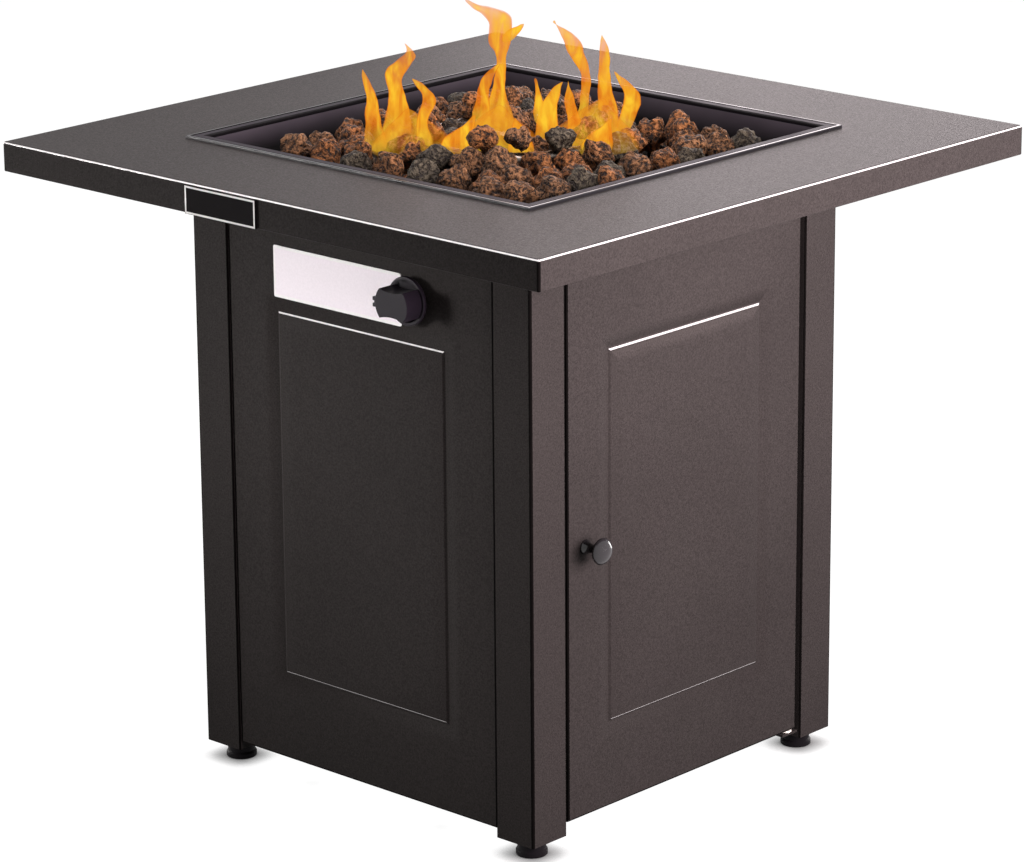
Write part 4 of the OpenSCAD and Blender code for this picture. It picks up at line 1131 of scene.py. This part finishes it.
def burning_gas(name, fullness):
    """Clear at its edges and tips, orange to yellow where it is thick, with streaks that rise."""
    material, tree = bare_material(name)
    edge = tree.nodes.new("ShaderNodeLayerWeight")
    thick = reckon(tree, "SUBTRACT", 1, edge.outputs["Facing"])
    place = tree.nodes.new("ShaderNodeTexCoord")
    upward = stretch(tree, place.outputs["Object"], (1, 1, 0.3))
    lively = remap(tree, add_noise(tree, upward, 95, distortion=0.6)["Fac"], 0.32, 0.68)
    rise = tree.nodes.new("ShaderNodeAttribute")
    rise.attribute_name = "rise"
    height = rise.outputs["Fac"]
    fade = reckon(tree, "MULTIPLY", remap(tree, height, 0.75, 1.0, 1.0, 0.65),
                  remap(tree, height, 0.0, 0.45, 0.28, 1.0))
    dense = reckon(tree, "MULTIPLY", remap(tree, thick, 0.1, 0.7), fade)
    streaky = remap(tree, lively, 0, 1, fullness / 2, fullness)
    heat = reckon(tree, "MULTIPLY", remap(tree, thick, 0.3, 1.0), lively)
    hue = blend(tree, heat, (0.86, 0.19, 0.008), (1.0, 0.60, 0.035))
    young = remap(tree, height, 0.0, 0.35, 0.7, 0.0)
    shine = tree.nodes.new("ShaderNodeEmission")
    tree.links.new(blend(tree, young, hue, (0.72, 0.56, 0.05)), shine.inputs["Color"])
    clear = tree.nodes.new("ShaderNodeBsdfTransparent")
    cover = reckon(tree, "MULTIPLY", dense, streaky)
    end_in_mix(tree, cover, clear.outputs["BSDF"], shine.outputs["Emission"])
    return material


# Each flame's place towards the camera, then its slices upwards: across the view, height and width,
# all in millimetres, from the photograph
FLAMES = {
    "left_fork": (30, [(-134, -6, 24), (-138, 16, 20), (-140, 33, 15), (-139, 47, 12), (-142, 59, 9),
                       (-146, 68, 5), (-148, 78, 1)]),
    "left_curl": (20, [(-118, -8, 35), (-114, 18, 31), (-114, 36, 22), (-115, 53, 16), (-118, 65, 17),
                       (-116, 75, 23), (-107, 83, 19), (-100, 90, 11), (-103, 96, 5), (-107, 101, 1)]),
    "left_hook": (55, [(-87, 0, 22), (-90, 22, 13), (-90, 34, 10), (-85, 44, 14), (-82, 52, 16),
                       (-85, 60, 10), (-92, 67, 5), (-99, 73, 1)]),
    "middle_shoulder": (30, [(-33, 18, 26), (-33, 40, 16), (-31, 54, 12), (-28, 66, 10), (-22, 75, 6),
                             (-14, 82, 1)]),
    "middle_tall": (20, [(-26, -8, 67), (-22, 15, 53), (-19, 29, 35), (-18, 44, 20), (-15, 60, 12),
                         (-12, 78, 9), (-12, 93, 14), (-15, 102, 26), (-12, 116, 23), (-14, 126, 26),
                         (-24, 133, 30), (-38, 138, 12), (-47, 143, 1)]),
    "middle_flick": (20, [(-9, 100, 12), (-4, 109, 20), (3, 116, 13), (10, 120, 1)]),
    "right_fork": (45, [(31, -4, 35), (31, 22, 23), (32, 39, 18), (35, 51, 15), (40, 60, 8), (47, 67, 1)]),
    "right_prong": (45, [(25, 22, 13), (24, 43, 11), (23, 57, 7), (20, 71, 1)]),
    "right_thin": (40, [(62, -4, 31), (60, 17, 19), (56, 33, 12), (53, 48, 8), (52, 68, 1)]),
    "right_tall": (-10, [(66, 6, 18), (68, 30, 10), (69, 43, 12), (71, 57, 11), (67, 71, 12), (59, 85, 17),
                         (58, 95, 20), (50, 104, 12), (42, 111, 5), (38, 117, 1)]),
    "far_right_tall": (20, [(92, -8, 31), (91, 20, 23), (90, 41, 18), (88, 61, 14), (88, 81, 12),
                            (88, 96, 9), (85, 109, 1)]),
    "far_right_lobe": (15, [(103, 2, 16), (110, 21, 18), (116, 38, 19), (114, 50, 17), (106, 60, 12),
                            (97, 71, 1)]),
    "low_left": (75, [(-59, -4, 39), (-59, 14, 31), (-51, 24, 22), (-43, 34, 9), (-38, 42, 1)]),
    "low_right": (70, [(4, -4, 34), (6, 14, 22), (4, 26, 14), (0, 38, 1)]),
    "low_far_right": (60, [(78, -4, 40), (80, 10, 30), (86, 22, 16), (94, 34, 1)]),
    "left_skirt": (45, [(-100, -8, 96), (-99, 8, 88), (-99, 20, 62), (-101, 31, 32), (-104, 42, 2)]),
    "middle_skirt": (50, [(-24, -8, 120), (-22, 8, 104), (-20, 22, 72), (-18, 34, 36), (-14, 46, 2)]),
    "right_skirt": (45, [(72, -8, 110), (74, 8, 98), (76, 22, 74), (80, 36, 42), (86, 52, 2)]),
}
mm = 0.001
gas_level = 0.640
flame_sides = 12
flame_depth = 0.5
flicker_size = 0.022
flicker_d = 0.006


def raise_flame(name, towards, slices, finish):
    """One tongue, extruded slice by slice, flattened in the view's depth."""
    sizes = [(across * mm, height * mm, width * mm / 2) for across, height, width in slices]
    across, height, reach = sizes[0]
    pick_none()
    bpy.ops.mesh.primitive_circle_add(vertices=flame_sides, radius=reach, fill_type="NGON")
    flame = named(name)
    flame.scale = (1, flame_depth, 1)
    here = Vector((across, -towards * mm, height))
    settle(flame, to=here)
    edit(flame)
    pick_all()
    for across, height, wider in sizes[1:]:
        there = Vector((across, here.y, height))
        draw_out(there - here)
        bpy.ops.transform.resize(value=(wider / reach, wider / reach, 1), center_override=there)
        here, reach = there, wider
    leave()
    finish_with(flame, "SUBSURF", levels=2, render_levels=2)
    flicker = bpy.data.textures.new(f"{name}_flicker", "CLOUDS")
    flicker.noise_scale = flicker_size
    finish_with(flame, "DISPLACE", texture=flicker, strength=flicker_d, mid_level=0.5,
                texture_coords="LOCAL")
    low, high = sizes[0][1], sizes[-1][1]
    layer = flame.data.attributes.new("rise", "FLOAT", "POINT")
    layer.data.foreach_set("value", [(point.co.z - low) / (high - low) for point in flame.data.vertices])
    alone(flame)
    bpy.ops.object.shade_smooth()
    settle(flame, turn=(0, 0, camera_turn), to=(0, 0, gas_level))
    clad(flame, finish)
    flame.visible_shadow = False


def light_burner():
    tongue = burning_gas("burning_gas", 1.0)
    skirt = burning_gas("spreading_gas", 0.5)
    for name, (towards, slices) in FLAMES.items():
        raise_flame(f"flame_{name}", towards, slices, skirt if name.endswith("skirt") else tongue)


# The floor, the light and the camera

floor_size = 30
floor_colour = (0.08, 0.078, 0.078, 1)
shadow_reach = 0.022
shadow_depth = 1.6
room_light = 0.12


def sight_rays(tree):
    """One for rays that the camera, a gloss or clear gas looks along, and nothing for the rest."""
    path = tree.nodes.new("ShaderNodeLightPath")
    glossy, through = path.outputs["Is Glossy Ray"], path.outputs["Is Transmission Ray"]
    either = reckon(tree, "MAXIMUM", glossy, through)
    return reckon(tree, "MAXIMUM", path.outputs["Is Camera Ray"], either)


def lay_floor():
    pick_none()
    bpy.ops.mesh.primitive_plane_add(size=floor_size)
    floor = named("studio_floor")
    material, tree = bare_material("studio_floor")
    # The floor's glow dims by ambient occlusion close to the table: a painted contact shadow
    under = tree.nodes.new("ShaderNodeAmbientOcclusion")
    under.inputs["Distance"].default_value = shadow_reach
    under.samples = 8
    white = tree.nodes.new("ShaderNodeEmission")
    tree.links.new(reckon(tree, "POWER", under.outputs["AO"], shadow_depth), white.inputs["Strength"])
    pale = tree.nodes.new("ShaderNodeBsdfDiffuse")
    pale.inputs["Color"].default_value = floor_colour
    lit = tree.nodes.new("ShaderNodeAddShader")
    tree.links.new(pale.outputs["BSDF"], lit.inputs[0])
    tree.links.new(white.outputs["Emission"], lit.inputs[1])
    end_in_mix(tree, sight_rays(tree), pale.outputs["BSDF"], lit.outputs["Shader"])
    clad(floor, material)


def white_surround():
    world = bpy.data.worlds.new("studio")
    bpy.context.scene.world = world
    world.use_nodes = True
    tree = world.node_tree
    background = tree.nodes["Background"].inputs
    tree.links.new(remap(tree, sight_rays(tree), 0, 1, room_light, 1.0), background["Strength"])
    background["Color"].default_value = (1, 1, 1, 1)


def hang_lamp(name, lamp, spot, aim, watts, colour):
    lamp.energy = watts
    lamp.color = colour
    holder = bpy.data.objects.new(name, lamp)
    holder.location = spot
    holder.rotation_euler = (Vector(aim) - Vector(spot)).to_track_quat("-Z", "Y").to_euler()
    bpy.context.scene.collection.objects.link(holder)
    return holder


def add_panel(name, spot, aim, size, watts, colour):
    lamp = bpy.data.lights.new(name, "AREA")
    lamp.shape = "SQUARE"
    lamp.size = size
    return hang_lamp(name, lamp, spot, aim, watts, colour)


def add_spot(name, spot, aim, size, spread, watts, colour):
    """A soft lamp behind a grid, so that its light fades towards the edge of its cone."""
    lamp = bpy.data.lights.new(name, "SPOT")
    lamp.shadow_soft_size = size
    lamp.spot_size = math.radians(spread)
    lamp.spot_blend = 1
    hang_lamp(name, lamp, spot, aim, watts, colour)


def light_studio():
    warm = (1.0, 0.88, 0.90)
    pale = (1.0, 0.97, 0.95)
    key = add_panel("key", (1.5, 0.1, 0.8), (0, 0, 1.85), 1.2, 132, warm)
    key.visible_glossy = False
    add_panel("rear_panel", (-0.75, 1.5, 1.25), (0, 0, 0.6), 1.1, 21, warm)
    add_panel("left_fill", (-2.3, -0.1, 0.4), (0, 0, 0.35), 1.0, 40, pale)
    add_panel("rear_fill", (0.1, 2.3, 0.4), (0, 0, 0.35), 1.0, 40, pale)
    add_panel("overhead", (0.3, -0.3, 2.0), (0, 0, 0.6), 0.8, 25, warm)
    add_spot("front_spot", (-1.5, -1.6, 0.6), (-0.02, -body_half, 0.38), 0.32, 27, 240, pale)


def aim_camera():
    flat = math.cos(camera_rise)
    back = Vector((math.sin(camera_turn) * flat, -math.cos(camera_turn) * flat, math.sin(camera_rise)))
    level = Vector((math.cos(camera_turn), math.sin(camera_turn), 0))
    upright = back.cross(level)
    right = level * math.cos(camera_roll) + upright * math.sin(camera_roll)
    up = upright * math.cos(camera_roll) - level * math.sin(camera_roll)
    lens = bpy.data.cameras.new("camera")
    lens.sensor_width = sensor_w
    lens.sensor_fit = "HORIZONTAL"
    lens.lens = focal_px * sensor_w / photo_w
    camera = bpy.data.objects.new("camera", lens)
    turned = Matrix((right, up, back)).transposed().to_4x4()
    spot = camera_aim + back * camera_range + right * camera_shift[0] + up * camera_shift[1]
    camera.matrix_world = Matrix.Translation(spot) @ turned
    bpy.context.scene.collection.objects.link(camera)
    bpy.context.scene.camera = camera


bpy.context.scene.view_settings.view_transform = "Standard"
aim_camera()
white_surround()
light_studio()
lay_floor()
clad_frame()
fold_tabletop()
for side, corner in enumerate(("front_left", "front_right", "rear_right", "rear_left")):
    fold_post(f"leg_{corner}", f"post_{corner}", side)
fixed_panel("control_side", "control_panel", 0)
fixed_panel("rear_side", "rear_panel", 2)
fixed_panel("left_side", "left_panel", 3)
press_door()
press_pan()
shape_knob()
turn_pull()
make_badge()
make_guide()
roughen_stones("stones_below", "lava_rocks_lower", "lava_rust", 7, 1)
roughen_stones("stones_above", "lava_rocks_upper", "lava_brown", 8, 2)
light_burner()
